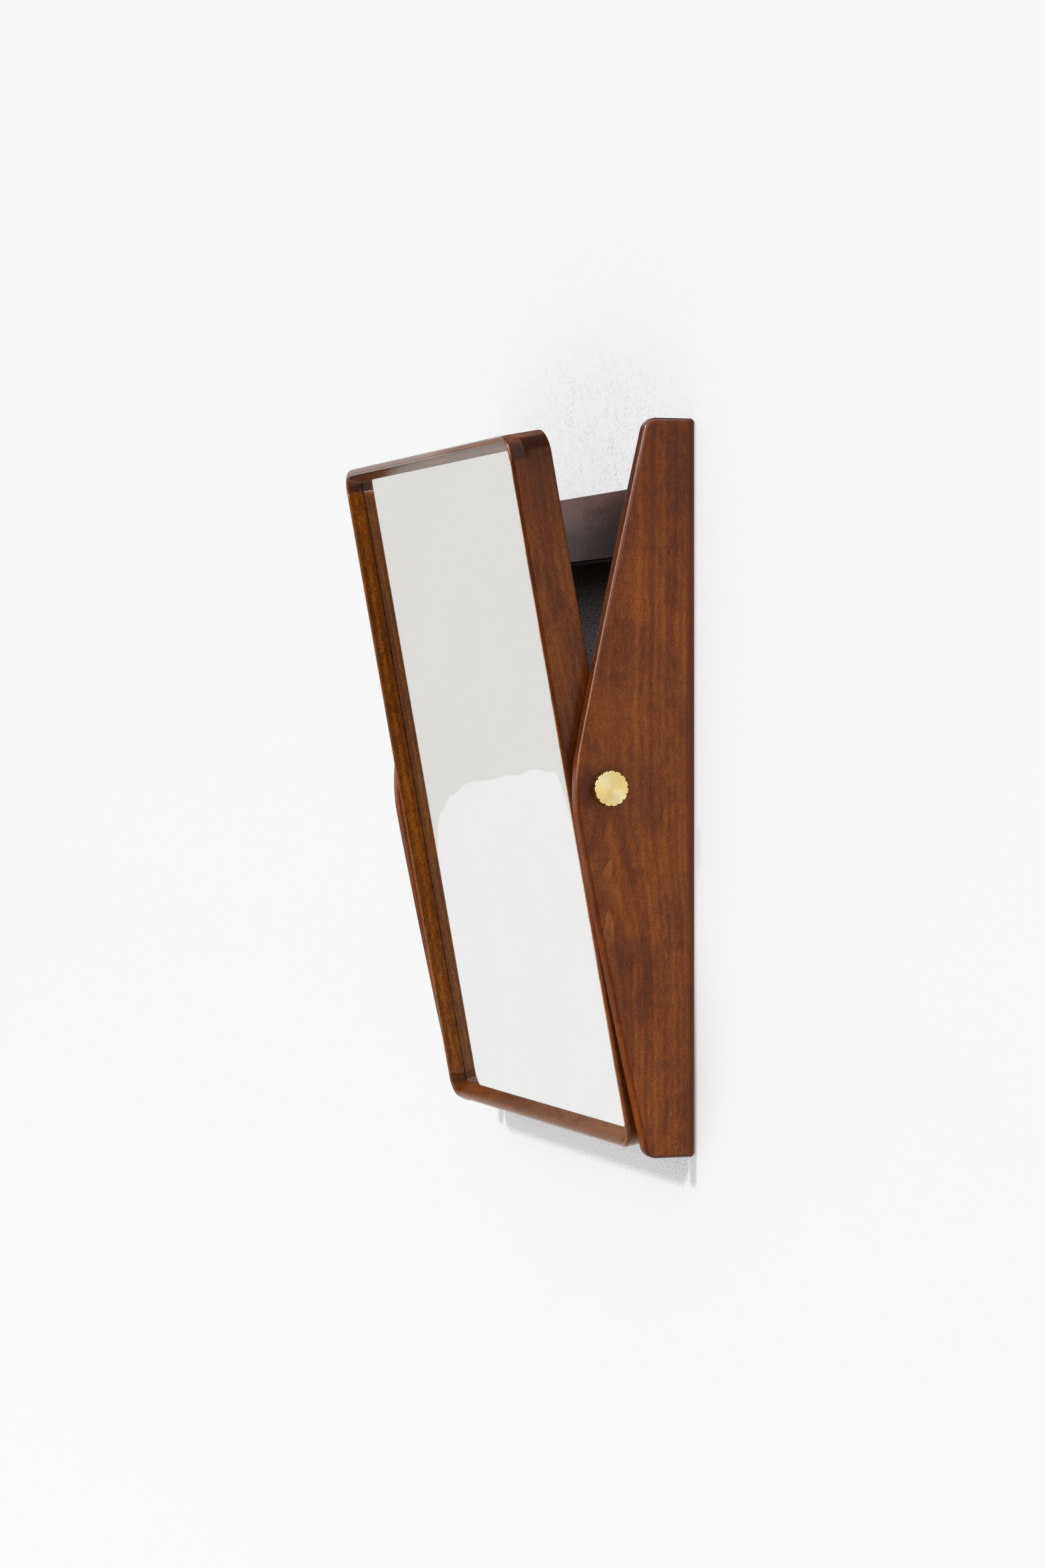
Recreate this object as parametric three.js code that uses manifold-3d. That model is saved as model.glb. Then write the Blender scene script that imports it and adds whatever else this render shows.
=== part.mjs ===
// Tilting wall mirror: a framed mirror hung between two kite-shaped wooden cheeks.
// Two notched brass thumb knobs clamp the frame at mid-height, so that it tilts
// about a horizontal axis. Two rails tie the cheeks together against the wall.
//
// Units are millimetres. X runs left to right, +Y points into the wall, +Z is up.
// The origin is the middle of the flat back face of the upper rail, on the wall plane.

import * as THREE from 'three';
import { mergeVertices } from 'three/addons/utils/BufferGeometryUtils.js';
import Module from 'manifold-3d';

const wasm = await Module();
wasm.setup();

// ---------------------------------------------------------------- dimensions

// cheeks (the two side brackets)
const CHEEK_HEIGHT = 525;          // top edge to bottom edge
const CHEEK_THICK = 12;
const CHEEK_OUTER_X = 218;         // outer faces at +-218: 436 overall
const CHEEK_INNER_X = CHEEK_OUTER_X - CHEEK_THICK;
const CHEEK_APEX = 90;             // furthest front point, from the wall
const CHEEK_APEX_R = 150;          // blend radius of the point of the kite
const CHEEK_SLOPE = 0.20;          // depth lost for each mm of height, beside the point
const CHEEK_BOW = 7.1e-5;          // slow extra curve of the front edge
const CHEEK_CORNER_R = 10;         // top and bottom front corners
const CHEEK_ROUND = 3;             // rounded arrises

// rails between the cheeks
const RAIL_HEIGHT = 50;
const RAIL_THICK = 14;
const RAIL_OFFSET = 193;           // rail middle above or below the tilt axis
const RAIL_END_GAP = 0.3;
const RAIL_CHAMFER = 1;
const DOWEL_R = 3;
const DOWEL_BORE_R = 3.3;
const DOWEL_SPREAD = 14;           // dowels above and below the rail's middle
const DOWEL_IN_RAIL = 14;
const DOWEL_IN_CHEEK = 8;

// keyhole hanger plates let into the back of the upper rail
const HANGER_X = 150;
const HANGER_W = 16;
const HANGER_H = 42;
const HANGER_T = 2;
const KEY_HOLE_R = 5;              // the screw head goes in here
const KEY_SLOT_R = 2.6;            // and the shank slides up here
const KEY_DROP = 8;                // from the plate's middle down to the hole, and up to the slot end
const POCKET_DEPTH = 10;           // room for the screw head inside the rail

// tilt axis
const PIVOT_Y = -66;               // from the wall
const TILT_DEG = 10.4;             // the top leans away from the wall
const STUD_R = 3;                  // M6 stud
const PLATE_TAP_R = 3.4;
const BUSH_R = 6;
const BUSH_BORE_R = 3.45;

// mirror frame, in its own frame: x across, v along the depth (front is negative), w up
const FRAME_W = 408;
const FRAME_H = 514.6;
const FRAME_FRONT = -25;           // front plane, from the tilt axis
const FRAME_BACK = 6.2;            // back plane
const FRAME_CORNER_R = 18;         // outer corners, seen from the front
const LIP_CORNER_R = 1.5;          // corners of the opening at the glass
const NOSE_R = 2.9;                // rounded front edge
const LIP = 11;                    // frame width seen in front of the glass
const REBATE = 7;                  // wall thickness behind the glass
const GLASS_PLANE = -14;           // back of the lip
const FINGER_V = -13.6;            // corner joint: rail finger in front, stile tongue behind
const FINGER_H = 18.5;             // height of the rail finger
const JOINT_GAP = 0.3;
const GAP = 0.3;                   // between pieces that touch
const GLASS_T = 3;
const BOARD_T = 3;
const BEAD = 5.5;                  // retaining bead section
const PIN_R = 0.8;

// pivot plates, washers and knobs
const PLATE_T = 2;
const PLATE_H = 34;
const PLATE_V = 9.2;
const BOSS_R = 4;
const PLATE_SCREW_W = 12;
const WASHER_IN_R = 3.6;
const FRICTION_R = 11;
const CLAMP_WASHER_R = 9;
const CLAMP_WASHER_T = 0.6;
const KNOB_R = 12.5;
const KNOB_T = 6;
const KNOB_NOTCHES = 15;
const KNOB_NOTCH_R = 0.8;

// ---------------------------------------------------------------- materials

const make = (color, roughness, metalness) => () =>
  new THREE.MeshStandardMaterial({ color, roughness, metalness });
const WOOD = make(0x7d4f36, 0.42, 0);
const RAILWOOD = make(0x6f4a38, 0.45, 0);
const DOWELWOOD = make(0xb98f62, 0.7, 0);
const BOARD = make(0x8a6848, 0.8, 0);
const GLASS = make(0xe9ecea, 0.03, 1);
const BRASS = make(0xd9bf78, 0.28, 1);
const STEEL = make(0xa9abad, 0.35, 1);
const FIBRE = make(0x3a2a22, 0.85, 0);

// ---------------------------------------------------------------- solids

function toSolid(geometry) {
  const g = geometry.clone();
  g.deleteAttribute('normal');
  g.deleteAttribute('uv');
  const merged = mergeVertices(g, 1e-4);
  const solid = new wasm.Manifold(new wasm.Mesh({
    numProp: 3,
    vertProperties: new Float32Array(merged.attributes.position.array),
    triVerts: new Uint32Array(merged.index.array),
  }));
  return solid;
}

function toGeometry(solid) {
  const m = solid.getMesh();
  const n = m.numProp;
  const pos = new Float32Array((m.vertProperties.length / n) * 3);
  for (let i = 0, j = 0; i < m.vertProperties.length; i += n, j += 3) {
    pos[j] = m.vertProperties[i];
    pos[j + 1] = m.vertProperties[i + 1];
    pos[j + 2] = m.vertProperties[i + 2];
  }
  const g = new THREE.BufferGeometry();
  g.setAttribute('position', new THREE.BufferAttribute(pos, 3));
  g.setIndex(new THREE.BufferAttribute(new Uint32Array(m.triVerts), 1));
  g.computeVertexNormals();
  return g;
}

// box between two corners
function box(x0, x1, y0, y1, z0, z1) {
  const g = new THREE.BoxGeometry(x1 - x0, y1 - y0, z1 - z0);
  g.translate((x0 + x1) / 2, (y0 + y1) / 2, (z0 + z1) / 2);
  return toSolid(g);
}

// turned solid on an axis parallel to X, from a list of [radius, x], at (y, z)
function turnedX(profile, y, z, sides = 24) {
  const pts = [];
  const p = profile.slice();
  if (p[0][0] > 0) p.unshift([0, p[0][1]]);
  if (p[p.length - 1][0] > 0) p.push([0, p[p.length - 1][1]]);
  for (const [r, x] of p) pts.push(new THREE.Vector2(r, x));
  const g = new THREE.LatheGeometry(pts, sides);
  // the lathe turns about Y: carry that axis over to X
  g.applyMatrix4(new THREE.Matrix4().set(0, 1, 0, 0, 0, 0, 1, y, 1, 0, 0, z, 0, 0, 0, 1));
  let s = toSolid(g);
  return s;
}
const rodX = (x0, x1, r, y, z, sides = 24) =>
  turnedX([[r, Math.min(x0, x1)], [r, Math.max(x0, x1)]], y, z, sides);

// turned solid on an axis parallel to Y, from a list of [radius, y], at (x, z)
function turnedY(profile, x, z, sides = 24) {
  const p = profile.slice();
  if (p[0][0] > 0) p.unshift([0, p[0][1]]);
  if (p[p.length - 1][0] > 0) p.push([0, p[p.length - 1][1]]);
  const g = new THREE.LatheGeometry(p.map(([r, y]) => new THREE.Vector2(r, y)), sides);
  g.translate(x, 0, z);
  return toSolid(g);
}

// turned solid on an axis parallel to Z
function turnedZ(profile, x, y, sides = 12) {
  const p = profile.slice();
  if (p[0][0] > 0) p.unshift([0, p[0][1]]);
  if (p[p.length - 1][0] > 0) p.push([0, p[p.length - 1][1]]);
  const g = new THREE.LatheGeometry(p.map(([r, z]) => new THREE.Vector2(r, z)), sides);
  g.applyMatrix4(new THREE.Matrix4().set(0, 0, 1, x, 1, 0, 0, y, 0, 1, 0, 0, 0, 0, 0, 1));
  return toSolid(g);
}

// shape drawn in (y, z) and extruded along X from x0 to x1
function plateX(shape, x0, x1, round = 0, segments = 3, curve = 8) {
  const t = x1 - x0;
  const g = new THREE.ExtrudeGeometry(shape, {
    depth: t - 2 * round, curveSegments: curve,
    bevelEnabled: round > 0, bevelThickness: round, bevelSize: round,
    bevelOffset: -round, bevelSegments: segments, steps: 1,
  });
  g.translate(0, 0, round);
  g.applyMatrix4(new THREE.Matrix4().set(0, 0, 1, x0, 1, 0, 0, 0, 0, 1, 0, 0, 0, 0, 0, 1));
  return toSolid(g);
}

// shape drawn in (x, z) and extruded along Y from y0 to y1
function plateY(shape, y0, y1, curve = 8) {
  const g = new THREE.ExtrudeGeometry(shape, { depth: y1 - y0, curveSegments: curve, bevelEnabled: false });
  // shape x -> X, shape y -> Z, extrusion -> -Y
  g.applyMatrix4(new THREE.Matrix4().set(1, 0, 0, 0, 0, 0, -1, y1, 0, 1, 0, 0, 0, 0, 0, 1));
  return toSolid(g);
}

function roundedRect(hw, hh, r) {
  const s = new THREE.Shape();
  s.moveTo(-hw + r, -hh);
  s.lineTo(hw - r, -hh);
  s.absarc(hw - r, -hh + r, r, -Math.PI / 2, 0, false);
  s.lineTo(hw, hh - r);
  s.absarc(hw - r, hh - r, r, 0, Math.PI / 2, false);
  s.lineTo(-hw + r, hh);
  s.absarc(-hw + r, hh - r, r, Math.PI / 2, Math.PI, false);
  s.lineTo(-hw, -hh + r);
  s.absarc(-hw + r, -hh + r, r, Math.PI, 1.5 * Math.PI, false);
  return s;
}

// ---------------------------------------------------------------- scene

const mirrorPart = new THREE.Group();
const bracket = new THREE.Group();          // everything fixed to the wall
const tilting = new THREE.Group();          // everything that tilts
mirrorPart.add(bracket, tilting);
// pieces are drawn with z = 0 at the tilt axis; the origin is at the upper rail
bracket.position.set(0, 0, -RAIL_OFFSET);
tilting.position.set(0, PIVOT_Y, -RAIL_OFFSET);
tilting.rotation.x = THREE.MathUtils.degToRad(TILT_DEG);

function add(group, name, solid, material) {
  const mesh = new THREE.Mesh(toGeometry(solid), material());
  mesh.name = name;
  group.add(mesh);
  return mesh;
}

// ---------------------------------------------------------------- cheeks

// distance of the front edge from the wall at a height dz from the tilt axis
function cheekDepth(dz) {
  const a = Math.abs(dz);
  const sin = CHEEK_SLOPE / Math.hypot(1, CHEEK_SLOPE);
  const zb = CHEEK_APEX_R * sin;
  if (a <= zb) return CHEEK_APEX - (CHEEK_APEX_R - Math.sqrt(CHEEK_APEX_R ** 2 - a * a));
  const db = CHEEK_APEX - CHEEK_APEX_R * (1 - Math.sqrt(1 - sin * sin));
  return db - CHEEK_SLOPE * (a - zb) - CHEEK_BOW * (a - zb) ** 2;
}

function cheekShape() {
  const half = CHEEK_HEIGHT / 2;
  const r = CHEEK_CORNER_R;
  // the corner arc sits r below the top edge and r inside the front edge
  const slope = (cheekDepth(half - r - 1) - cheekDepth(half - r + 1)) / 2;
  const tilt = Math.atan(slope);
  const zc = half - r;
  const touch = zc + r * Math.sin(tilt);              // height where the arc meets the front edge
  const yc = -cheekDepth(touch) + r * Math.cos(tilt);
  const pts = [];
  const arc = 6;
  for (let i = 0; i <= arc; i++) {                    // top corner, from the top edge round to the front
    const a = Math.PI / 2 + (Math.PI / 2 - tilt) * (i / arc);
    pts.push([yc + r * Math.cos(a), zc + r * Math.sin(a)]);
  }
  for (const z of [210, 165, 120, 75, 45, 29, 20, 10, 0, -10, -20, -29, -45, -75, -120, -165, -210]) {
    pts.push([-cheekDepth(z), z]);
  }
  for (let i = arc; i >= 0; i--) {
    const a = Math.PI / 2 + (Math.PI / 2 - tilt) * (i / arc);
    pts.push([yc + r * Math.cos(a), -(zc + r * Math.sin(a))]);
  }
  pts.push([8, -half], [8, half]);                    // runs past the wall plane, trimmed below
  pts.reverse();
  const s = new THREE.Shape();
  pts.forEach(([y, z], i) => (i ? s.lineTo(y, z) : s.moveTo(y, z)));
  return s;
}

for (const side of [-1, 1]) {
  const name = side < 0 ? 'left' : 'right';
  const x0 = side > 0 ? CHEEK_INNER_X : -CHEEK_OUTER_X;
  let s = plateX(cheekShape(), x0, x0 + CHEEK_THICK, CHEEK_ROUND, 3);
  s = s.subtract(box(x0 - 5, x0 + CHEEK_THICK + 5, 0, 30, -300, 300));
  // bore for the pivot bush
  s = s.subtract(rodX(x0 - 1, x0 + CHEEK_THICK + 1, BUSH_R + GAP, PIVOT_Y, 0, 32));
  // blind dowel bores in the inner face
  const face = side * CHEEK_INNER_X;
  for (const rail of [-1, 1]) for (const d of [-1, 1]) {
    s = s.subtract(rodX(face - side, face + side * (DOWEL_IN_CHEEK + GAP), DOWEL_BORE_R,
      -RAIL_THICK / 2, rail * RAIL_OFFSET + d * DOWEL_SPREAD, 16));
  }
  add(bracket, `${name}_cheek`, s, WOOD);

  // plain bush pressed into the cheek
  const bush = rodX(x0 + GAP, x0 + CHEEK_THICK - GAP, BUSH_R, PIVOT_Y, 0, 32)
    .subtract(rodX(x0 - 1, x0 + CHEEK_THICK + 1, BUSH_BORE_R, PIVOT_Y, 0, 32));
  add(bracket, `${name}_pivot_bush`, bush, BRASS);
}

// ---------------------------------------------------------------- rails, dowels, hangers

function railShape() {
  const c = RAIL_CHAMFER;
  const s = new THREE.Shape();
  const h = RAIL_HEIGHT / 2;
  s.moveTo(0, -h); s.lineTo(0, h); s.lineTo(-RAIL_THICK + c, h); s.lineTo(-RAIL_THICK, h - c);
  s.lineTo(-RAIL_THICK, -h + c); s.lineTo(-RAIL_THICK + c, -h); s.closePath();
  return s;
}

function keyholeShape(hole, slot, drop) {
  // round entry below, slot with a round end above, drawn about the plate's middle
  const s = new THREE.Shape();
  const a = Math.asin(slot / hole);
  s.absarc(0, -drop, hole, Math.PI / 2 + a, Math.PI / 2 - a + 2 * Math.PI, false);
  s.lineTo(slot, drop);
  s.absarc(0, drop, slot, 0, Math.PI, false);
  s.closePath();
  return s;
}

// countersunk screw, axis along Y, slotted head flush with y = head, pointing to -Y
function screwY(x, z, head, length, r = 1.3, headR = 2.4) {
  let s = turnedY([[headR, head], [headR, head - 0.3], [r, head - 1.6], [r, head - length + 1.5], [0.3, head - length]]
    .reverse(), x, z, 10);
  return s.subtract(box(x - headR - 1, x + headR + 1, head - 0.5, head + 1, z - 0.3, z + 0.3));
}

for (const rail of [1, -1]) {
  const name = rail > 0 ? 'upper_rail' : 'lower_rail';
  const zr = rail * RAIL_OFFSET;
  const end = CHEEK_INNER_X - RAIL_END_GAP;
  let s = plateX(railShape(), -end, end).translate([0, 0, zr]);
  for (const side of [-1, 1]) {
    for (const d of [-1, 1]) {
      const z = zr + d * DOWEL_SPREAD;
      const x0 = side * (CHEEK_INNER_X - DOWEL_IN_RAIL);
      const x1 = side * (CHEEK_INNER_X + DOWEL_IN_CHEEK);
      s = s.subtract(rodX(x0 - side * GAP, side * (CHEEK_INNER_X + 2), DOWEL_BORE_R, -RAIL_THICK / 2, z, 16));
      const e = side * 0.8;
      const prof = [[DOWEL_R - 0.8, x0], [DOWEL_R, x0 + e], [DOWEL_R, x1 - e], [DOWEL_R - 0.8, x1]];
      const dowel = turnedX(side > 0 ? prof : prof.reverse(), -RAIL_THICK / 2, z, 16);
      add(bracket, `${rail > 0 ? 'upper' : 'lower'}_rail_dowel_${side < 0 ? 'left' : 'right'}_${d > 0 ? 'top' : 'bottom'}`,
        dowel, DOWELWOOD);
    }
    if (rail > 0) {
      const x = side * HANGER_X;
      const hw = HANGER_W / 2, hh = HANGER_H / 2;
      // seat for the plate, then the deeper pocket behind its keyhole
      s = s.subtract(plateY(roundedRect(hw + GAP, hh + GAP, 3 + GAP), -HANGER_T - GAP, 2, 4).translate([x, 0, zr]));
      s = s.subtract(box(x - 6, x + 6, -POCKET_DEPTH, 1, zr - KEY_DROP - KEY_HOLE_R - 1, zr + KEY_DROP + KEY_SLOT_R + 1));
      let p = plateY(roundedRect(hw, hh, 3), -HANGER_T, 0, 4).translate([x, 0, zr]);
      p = p.subtract(plateY(keyholeShape(KEY_HOLE_R, KEY_SLOT_R, KEY_DROP), -HANGER_T - 1, 1, 7).translate([x, 0, zr]));
      const tag = side < 0 ? 'left' : 'right';
      for (const d of [-1, 1]) {
        const z = zr + d * 17;
        p = p.subtract(turnedY([[1.6, -HANGER_T - 1], [1.6, -1.75], [2.75, -0.3], [2.75, 1]], x, z, 12));
        s = s.subtract(turnedY([[1.6, -11], [1.6, 0]], x, z, 12));
        add(bracket, `hanger_screw_${tag}_${d > 0 ? 'upper' : 'lower'}`, screwY(x, z, 0, 10.5), STEEL);
      }
      add(bracket, `keyhole_hanger_${tag}`, p, STEEL);
    }
  }
  add(bracket, name, s, RAILWOOD);
}

// ---------------------------------------------------------------- mirror frame

// cross-section, s = distance in from the outer face, v = depth
function frameSection() {
  const pts = [[REBATE, FRAME_BACK], [0.8, FRAME_BACK], [0, FRAME_BACK - 0.8]];
  const cs = NOSE_R, cv = FRAME_FRONT + NOSE_R;
  const reach = Math.hypot(LIP - cs, GLASS_PLANE - cv);
  const toLip = Math.atan2(GLASS_PLANE - cv, LIP - cs);
  const end = toLip - Math.acos(NOSE_R / reach);      // where the splayed face leaves the nose
  const start = -Math.PI;
  const n = 7;
  for (let i = 0; i <= n; i++) {
    const a = start + (end - start) * (i / n);
    pts.push([cs + NOSE_R * Math.cos(a), cv + NOSE_R * Math.sin(a)]);
  }
  pts.push([LIP, GLASS_PLANE], [REBATE, GLASS_PLANE]);
  return pts;
}

// corner radius at a distance s in from the outer face: the splayed inner corners
// close from the outer radius to nearly square at the glass
const cornerRadius = (s) => FRAME_CORNER_R - ((FRAME_CORNER_R - LIP_CORNER_R) * s) / LIP;

// the section carried round the rounded rectangle of the frame
function frameRing() {
  const sec = frameSection();
  const stations = [];
  const n = 7;
  [[1, 1, 0], [-1, 1, 90], [-1, -1, 180], [1, -1, 270]].forEach(([sx, sz, a0]) => {
    for (let i = 0; i <= n; i++) {
      const a = THREE.MathUtils.degToRad(a0 + (90 * i) / n);
      stations.push([sx, sz, Math.cos(a), Math.sin(a)]);
    }
  });
  const pos = [], idx = [];
  for (const [sx, sz, nx, nz] of stations) {
    for (const [s, v] of sec) {
      const r = cornerRadius(s);
      pos.push(sx * (FRAME_W / 2 - s - r) + nx * r, v, sz * (FRAME_H / 2 - s - r) + nz * r);
    }
  }
  const m = sec.length, k = stations.length;
  for (let i = 0; i < k; i++) {
    const a = i * m, b = ((i + 1) % k) * m;
    for (let j = 0; j < m; j++) {
      const j1 = (j + 1) % m;
      idx.push(a + j, b + j, b + j1, a + j, b + j1, a + j1);
    }
  }
  const g = new THREE.BufferGeometry();
  g.setAttribute('position', new THREE.BufferAttribute(new Float32Array(pos), 3));
  g.setIndex(idx);
  let s = toSolid(g);
  if (s.volume() < 0) {
    g.setIndex(idx.map((_, i) => idx[i - (i % 3) + [0, 2, 1][i % 3]]));
    s = toSolid(g);
  }
  return s;
}

const ring = frameRing();
const halfW = FRAME_W / 2, halfH = FRAME_H / 2;
const fingerZ = halfH - FINGER_H;
const tongueX = halfW - REBATE;
const g2 = JOINT_GAP / 2;
const wallX = halfW - REBATE;             // inner face of the rebate wall
const wallZ = halfH - REBATE;
const beadV0 = GLASS_PLANE + GAP + GLASS_T + GAP + BOARD_T + GAP;   // front of the beads
const beadV = beadV0 + BEAD / 2;

// panel pins through the beads: [axis, side, position along the bead]
const pinAlong = [-120, 120];
const sideBeadLo = 22, sideBeadHi = 236;
const sidePins = [sideBeadLo + 45, sideBeadHi - 45];
const pinReach = 4.6;                     // into the frame wall

for (const side of [1, -1]) {
  const name = side > 0 ? 'top' : 'bottom';
  const far = 300;
  const z0 = fingerZ + g2;
  const zr = side > 0 ? [z0, far] : [-far, -z0];
  let keep = box(-far, far, -far, FINGER_V - g2, ...zr).add(box(-tongueX + g2, tongueX - g2, -far, far, ...zr));
  let s = ring.intersect(keep);
  for (const x of pinAlong) {
    s = s.subtract(turnedZ(side > 0 ? [[PIN_R + GAP, wallZ - 1], [PIN_R + GAP, wallZ + pinReach + GAP]]
      : [[PIN_R + GAP, -wallZ - pinReach - GAP], [PIN_R + GAP, -wallZ + 1]], x, beadV, 8));
  }
  add(tilting, `frame_${name}_rail`, s, WOOD);
}

for (const side of [1, -1]) {
  const name = side > 0 ? 'right' : 'left';
  const far = 300;
  const xr = side > 0 ? [0, far] : [-far, 0];
  const xt = side > 0 ? [tongueX + g2, far] : [-far, -tongueX - g2];
  let keep = box(...xr, -far, far, -fingerZ + g2, fingerZ - g2).add(box(...xt, FINGER_V + g2, far, -far, far));
  let s = ring.intersect(keep);
  // seat of the tapped boss, screw holes of the pivot plate, pin holes of the beads
  s = s.subtract(rodX(side * (wallX - 1), side * (halfW + 1), BOSS_R + GAP, 0, 0, 24));
  for (const d of [-1, 1]) {
    s = s.subtract(rodX(side * (wallX - 1), side * (wallX + 5), 1.6, 0, d * PLATE_SCREW_W, 12));
    for (const w of sidePins) {
      s = s.subtract(rodX(side * (wallX - 1), side * (wallX + pinReach + GAP), PIN_R + GAP, beadV, d * w, 8));
    }
  }
  add(tilting, `frame_${name}_stile`, s, WOOD);
}

// glass and backing board lie in the rebate
const inset = REBATE + GAP;
const glassShape = roundedRect(halfW - inset, halfH - inset, FRAME_CORNER_R - inset);
const glassV = GLASS_PLANE + GAP;
add(tilting, 'mirror_glass', plateY(glassShape, glassV, glassV + GLASS_T, 6), GLASS);
const boardV = glassV + GLASS_T + GAP;
add(tilting, 'backing_board', plateY(glassShape, boardV, boardV + BOARD_T, 6), BOARD);

// retaining beads with a chamfered inner edge, pinned to the frame wall
function beadSection(sign) {
  // drawn in (across, depth); the wall side is at 0
  const c = 1.6;
  return [[0, 0], [BEAD, 0], [BEAD, BEAD - c], [BEAD - c, BEAD], [0, BEAD]].map(([a, b]) => [sign * a, b]);
}
function beadX(x0, x1, side) {            // top and bottom beads
  const zw = side * (wallZ - GAP);
  const s = new THREE.Shape(beadSection(-side).map(([a, b]) => new THREE.Vector2(beadV0 + b, zw + a)));
  return plateX(s, x0, x1);
}
function beadZ(z0, z1, side) {            // side beads
  const xw = side * (wallX - GAP);
  const pts = beadSection(-side).map(([a, b]) => new THREE.Vector2(xw + a, beadV0 + b));
  const g = new THREE.ExtrudeGeometry(new THREE.Shape(pts), { depth: z1 - z0, bevelEnabled: false });
  g.translate(0, 0, z0);
  return toSolid(g);
}
const pinHead = 1.4;
function pinProfile(tip, head) {          // from the point to the head, along the axis
  const d = Math.sign(tip - head);
  return [[0.25, tip], [PIN_R, tip - d * 1.2], [PIN_R, head + d * 0.7], [pinHead, head + d * 0.5], [pinHead, head]];
}
for (const side of [1, -1]) {
  const name = side > 0 ? 'top' : 'bottom';
  let b = beadX(-184, 184, side);
  const head = side * (wallZ - GAP - BEAD - 0.95);
  const tip = side * (wallZ + pinReach);
  for (const [i, x] of pinAlong.entries()) {
    const bore = [[PIN_R + GAP, Math.min(head, side * (wallZ + 1))], [PIN_R + GAP, Math.max(head, side * (wallZ + 1))]];
    b = b.subtract(turnedZ(bore, x, beadV, 8));
    const prof = pinProfile(tip, head);
    add(tilting, `bead_pin_${name}_${i ? 'right' : 'left'}`,
      turnedZ(side > 0 ? prof.reverse() : prof, x, beadV, 7), STEEL);
  }
  add(tilting, `retaining_bead_${name}`, b, RAILWOOD);
}
for (const side of [1, -1]) for (const d of [1, -1]) {
  const name = `${side > 0 ? 'right' : 'left'}_${d > 0 ? 'upper' : 'lower'}`;
  let b = beadZ(d > 0 ? sideBeadLo : -sideBeadHi, d > 0 ? sideBeadHi : -sideBeadLo, side);
  const head = side * (wallX - GAP - BEAD - 0.95);
  const tip = side * (wallX + pinReach);
  for (const [i, w] of sidePins.entries()) {
    b = b.subtract(rodX(head, side * (wallX + 1), PIN_R + GAP, beadV, d * w, 8));
    const prof = pinProfile(tip, head);
    add(tilting, `bead_pin_${name}_${i ? 'outer' : 'inner'}`,
      turnedX(side > 0 ? prof.reverse() : prof, beadV, d * w, 7), STEEL);
  }
  add(tilting, `retaining_bead_${name}`, b, RAILWOOD);
}

// ---------------------------------------------------------------- pivots and knobs

function knobShape() {
  const s = new THREE.Shape();
  const pts = [];
  const step = (2 * Math.PI) / KNOB_NOTCHES;
  const half = Math.asin(KNOB_NOTCH_R / KNOB_R);
  for (let i = 0; i < KNOB_NOTCHES; i++) {
    const a0 = i * step + THREE.MathUtils.degToRad(18);
    // round-bottomed notch
    for (let k = 0; k <= 4; k++) {
      const b = Math.PI / 2 + (Math.PI * k) / 4;      // half circle that opens outwards
      const u = Math.cos(b) * KNOB_NOTCH_R, v = Math.sin(b) * KNOB_NOTCH_R;
      const x = KNOB_R * Math.cos(half) - 0.35 + u, y = -v;
      const c = Math.cos(a0), d = Math.sin(a0);
      pts.push([x * c - y * d, x * d + y * c]);
    }
    // land between two notches
    for (let k = 0; k <= 3; k++) {
      const a = a0 + half + 0.035 + ((step - 2 * half - 0.07) * k) / 3;
      pts.push([KNOB_R * Math.cos(a), KNOB_R * Math.sin(a)]);
    }
  }
  pts.forEach(([x, y], i) => (i ? s.lineTo(x, y) : s.moveTo(x, y)));
  return s;
}

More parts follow.
